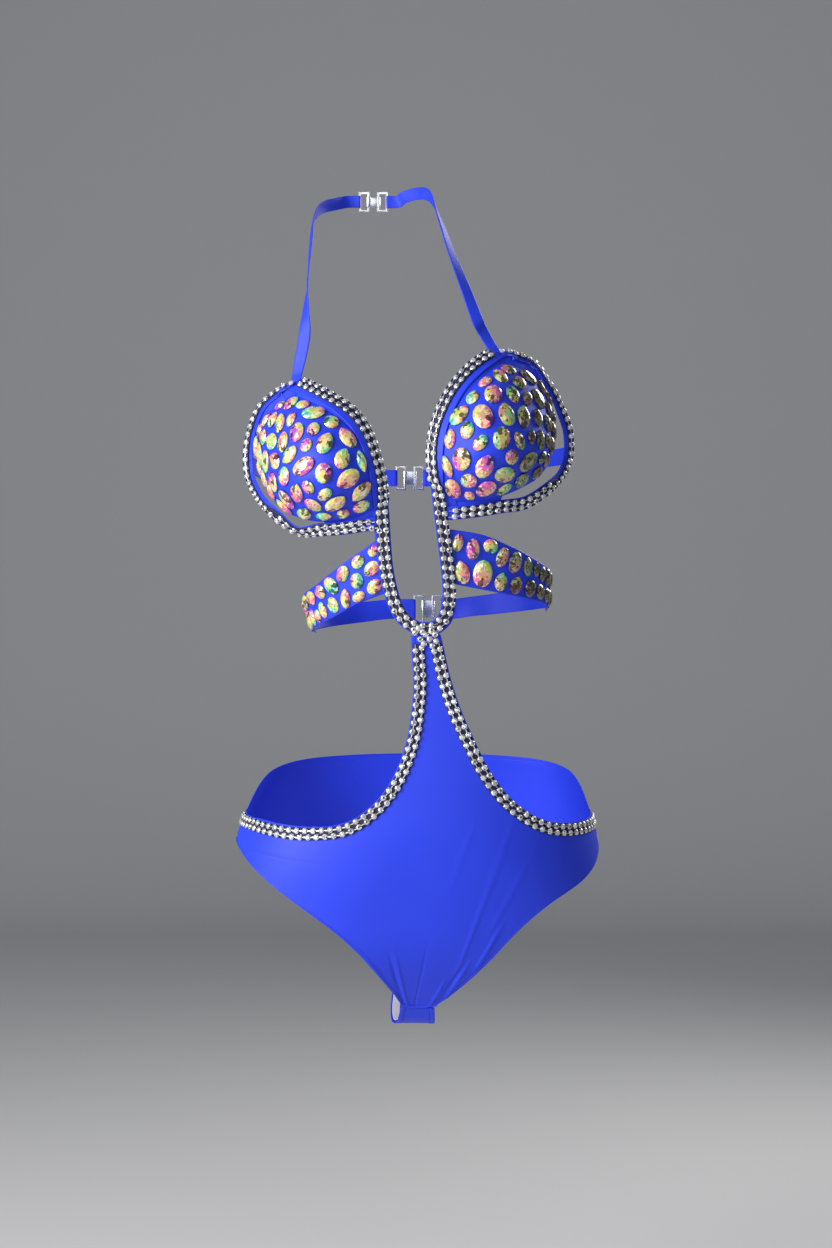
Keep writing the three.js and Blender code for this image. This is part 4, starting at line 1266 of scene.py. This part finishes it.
# the chains cross just below the plunge
crossing = {"lift": 0.7 * mm, "apart": 4.9 * mm}
middle = np.array([0.5])
bottom = yokeChain.at(middle, np.array([1.0]), np.array([-floor]))[0]
bottomOut = yokeChain.normal(middle, middle)[0]
rows = []
for hand, other in (("left", 1), ("right", -1)):
    start = hips[hand].at(np.array([1.0]), middle, np.array([-floor]))[0]
    finish = bottom + np.array((0.0085 * other, 0, 0.0045))
    way = unit(finish - start)
    beside = unit(np.cross(way, bottomOut))
    for side in (-0.5, 0.5):
        t = np.linspace(0.04, 1, 20)[:, None]
        points = start + (finish - start) * t + beside * side * crossing["apart"] + bottomOut * crossing["lift"]
        rows.append(pacedOut(points, np.repeat(bottomOut[None], 20, axis=0), chain["pitch"] * 0.8, 0.2))
kept = []
taken = []
for spots, ways, outs in rows:
    free = [i for i, spot in enumerate(spots)
            if all(np.linalg.norm(spot - np.array(other)) > 4.3 * mm for other in taken)]
    taken += [tuple(spots[i]) for i in free]
    if free:
        kept.append((spots[free], ways[free], outs[free]))
chainPiece("cross_trim", kept, None, 131)

# ---- seams and stitching ----

def edgeLine(surface, u, v):
    return surface.plain(u, v), surface.normal(u, v)


t = np.linspace(0, 1, 40)
path, outs = edgeLine(front, t, t * 0)
sewn(seamPiece("front_gusset_seam", path, outs, "leotard"), "front_brief")
seamShare = (14 / 36, 16 / 36)
for hand, edge in (("left", 0.0), ("right", 1.0)):
    v = np.linspace(*seamShare, 24)
    path, outs = edgeLine(front, v * 0 + edge, v)
    sewn(seamPiece(f"{hand}_side_seam", path, outs, "leotard", width=4.2 * mm), "front_brief")
middleShare = ((1 - 4 / 28) / 2, (1 + 4 / 28) / 2)
u = np.linspace(*middleShare, 24)
path, outs = edgeLine(back, u, u * 0)
sewn(seamPiece("back_gusset_seam", path, outs, "leotard", width=4.6 * mm), "back_brief")
at = hem["stitchAt"]
legEnd = 14 / 36
lines = [edgeRun(front, "u", True, at, (0.01, legEnd), 0.06 * mm),
         edgeRun(front, "u", False, at, (0.01, legEnd), 0.06 * mm),
         edgeRun(back, "v", True, at, (0.0, middleShare[0]), 0.06 * mm),
         edgeRun(back, "v", True, at, (middleShare[1], 1.0), 0.06 * mm),
         edgeRun(back, "v", False, at, (0.0, 1.0), 0.06 * mm),
         edgeRun(gusset, "v", True, at, (0.02, 0.98), 0.06 * mm),
         edgeRun(gusset, "v", False, at, (0.02, 0.98), 0.06 * mm)]
stitchPiece("brief_stitching", lines, "leotard")
lines = []
for hand in ("left", "right"):
    lines += [edgeRun(frameSurfaces[hand], "v", low, 2 * mm, (0.0, 1.0), -0.05 * mm) for low in (True, False)]
    for node, count in ((f"{hand}_back_strap", 22), (f"{hand}_waist_strap", 20)):
        surface = nodeSurface(node, count, (0, -1, 0))
        lines += [edgeRun(surface, "v", low, 2 * mm, (0.06, 0.94), -0.05 * mm) for low in (True, False)]
    lines += [edgeRun(bandSurfaces[hand], "v", low, 2 * mm, (0.06, 0.94), -0.05 * mm) for low in (True, False)]
stitchPiece("strap_stitching", lines, "leotard")
print("seams and stitches made")

# ---- clasps ----

def claspPiece(name, node, body):
    shape = bmesh.new()
    shape.from_mesh(frame["nodes"][node].data)
    bmesh.ops.remove_doubles(shape, verts=shape.verts, dist=2e-6)
    bmesh.ops.dissolve_limit(shape, angle_limit=0.02, verts=shape.verts, edges=shape.edges)
    sharp = [e for e in shape.edges if len(e.link_faces) == 2 and e.calc_face_angle(0) > 0.6]
    bmesh.ops.bevel(shape, geom=sharp, offset=0.22 * mm, segments=3, profile=0.5, affect="EDGES", material=-1,
                    clamp_overlap=True)
    mesh = bpy.data.meshes.new(name)
    shape.to_mesh(mesh)
    shape.free()
    piece = linked(name, mesh, body, cloths["clasp"])
    mesh.set_sharp_from_angle(angle=math.radians(35))
    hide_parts(node)


for place, body in (("neck", "halter"), ("back", "leotard"), ("waist", "leotard")):
    claspPiece(f"{place}_bar", f"{place}_bar_ring", body)
    claspPiece(f"{place}_eye", f"{place}_eye_ring", body)
    claspPiece(f"{place}_catch", f"{place}_hook", f"{place}_hook")
print("clasps made")

print(len(cuts), "sheets declared")

# ---- stage and light ----

stage = {"below": 0.32, "behind": 3.2, "half": 6.0, "colour": (0.62, 0.62, 0.63)}
shape = bmesh.new()
bmesh.ops.create_grid(shape, x_segments=2, y_segments=2, size=stage["half"])
floorHeight = cadLow.z - stage["below"]
bmesh.ops.translate(shape, vec=(0, stage["behind"] - stage["half"], floorHeight), verts=shape.verts)
rim = [e for e in shape.edges if all(v.co.y > stage["behind"] - 0.01 for v in e.verts)]
bmesh.ops.spin(shape, geom=rim, cent=(0, stage["behind"], floorHeight + 0.8), axis=(1, 0, 0),
               dvec=(0, 0, 0), angle=math.pi / 2, steps=16, use_duplicate=False)
top = [e for e in shape.edges if all(v.co.z > floorHeight + 0.79 for v in e.verts)]
risen = bmesh.ops.extrude_edge_only(shape, edges=top)["geom"]
bmesh.ops.translate(shape, vec=(0, 0, 3), verts=[g for g in risen if isinstance(g, bmesh.types.BMVert)])
mesh = bpy.data.meshes.new("backdrop")
shape.to_mesh(mesh)
shape.free()
paper = Paint("backdrop_paper")
grain = paper.noise(paper.object(), 30.0)
backdrop = linked("backdrop", mesh, None, paper.finish({
    "Base Color": (*stage["colour"], 1), "Roughness": 0.85 + grain * 0.1, "Specular IOR Level": 0.2}))

lamps = {
    "window": {"place": (-1.5, -1.15, 0.85), "size": (1.1, 1.5), "power": 54, "colour": (1.0, 0.98, 0.95)},
    "front": {"place": (0.3, -2.4, 1.3), "size": (1.2, 1.2), "power": 9, "colour": (0.9, 0.95, 1.0)},
    "back": {"place": (1.0, 1.1, 1.2), "size": (0.8, 0.8), "power": 16, "colour": (1.0, 0.97, 0.93)},
}
for name, lamp in lamps.items():
    light = bpy.data.lights.new(name, "AREA")
    light.shape = "RECTANGLE"
    light.size, light.size_y = lamp["size"]
    light.energy = lamp["power"]
    light.color = lamp["colour"]
    holder = bpy.data.objects.new(name, light)
    holder.location = lamp["place"]
    aim = Vector((0, 0, 0.35)) - holder.location
    holder.rotation_euler = aim.to_track_quat("-Z", "Y").to_euler()
    bpy.context.scene.collection.objects.link(holder)
world = bpy.data.worlds.new("room")
world.use_nodes = True
world.node_tree.nodes["Background"].inputs[0].default_value = (0.62, 0.66, 0.72, 1)
world.node_tree.nodes["Background"].inputs[1].default_value = 0.3
bpy.context.scene.world = world
bpy.context.scene.view_settings.view_transform = "Standard"
print("lights placed")
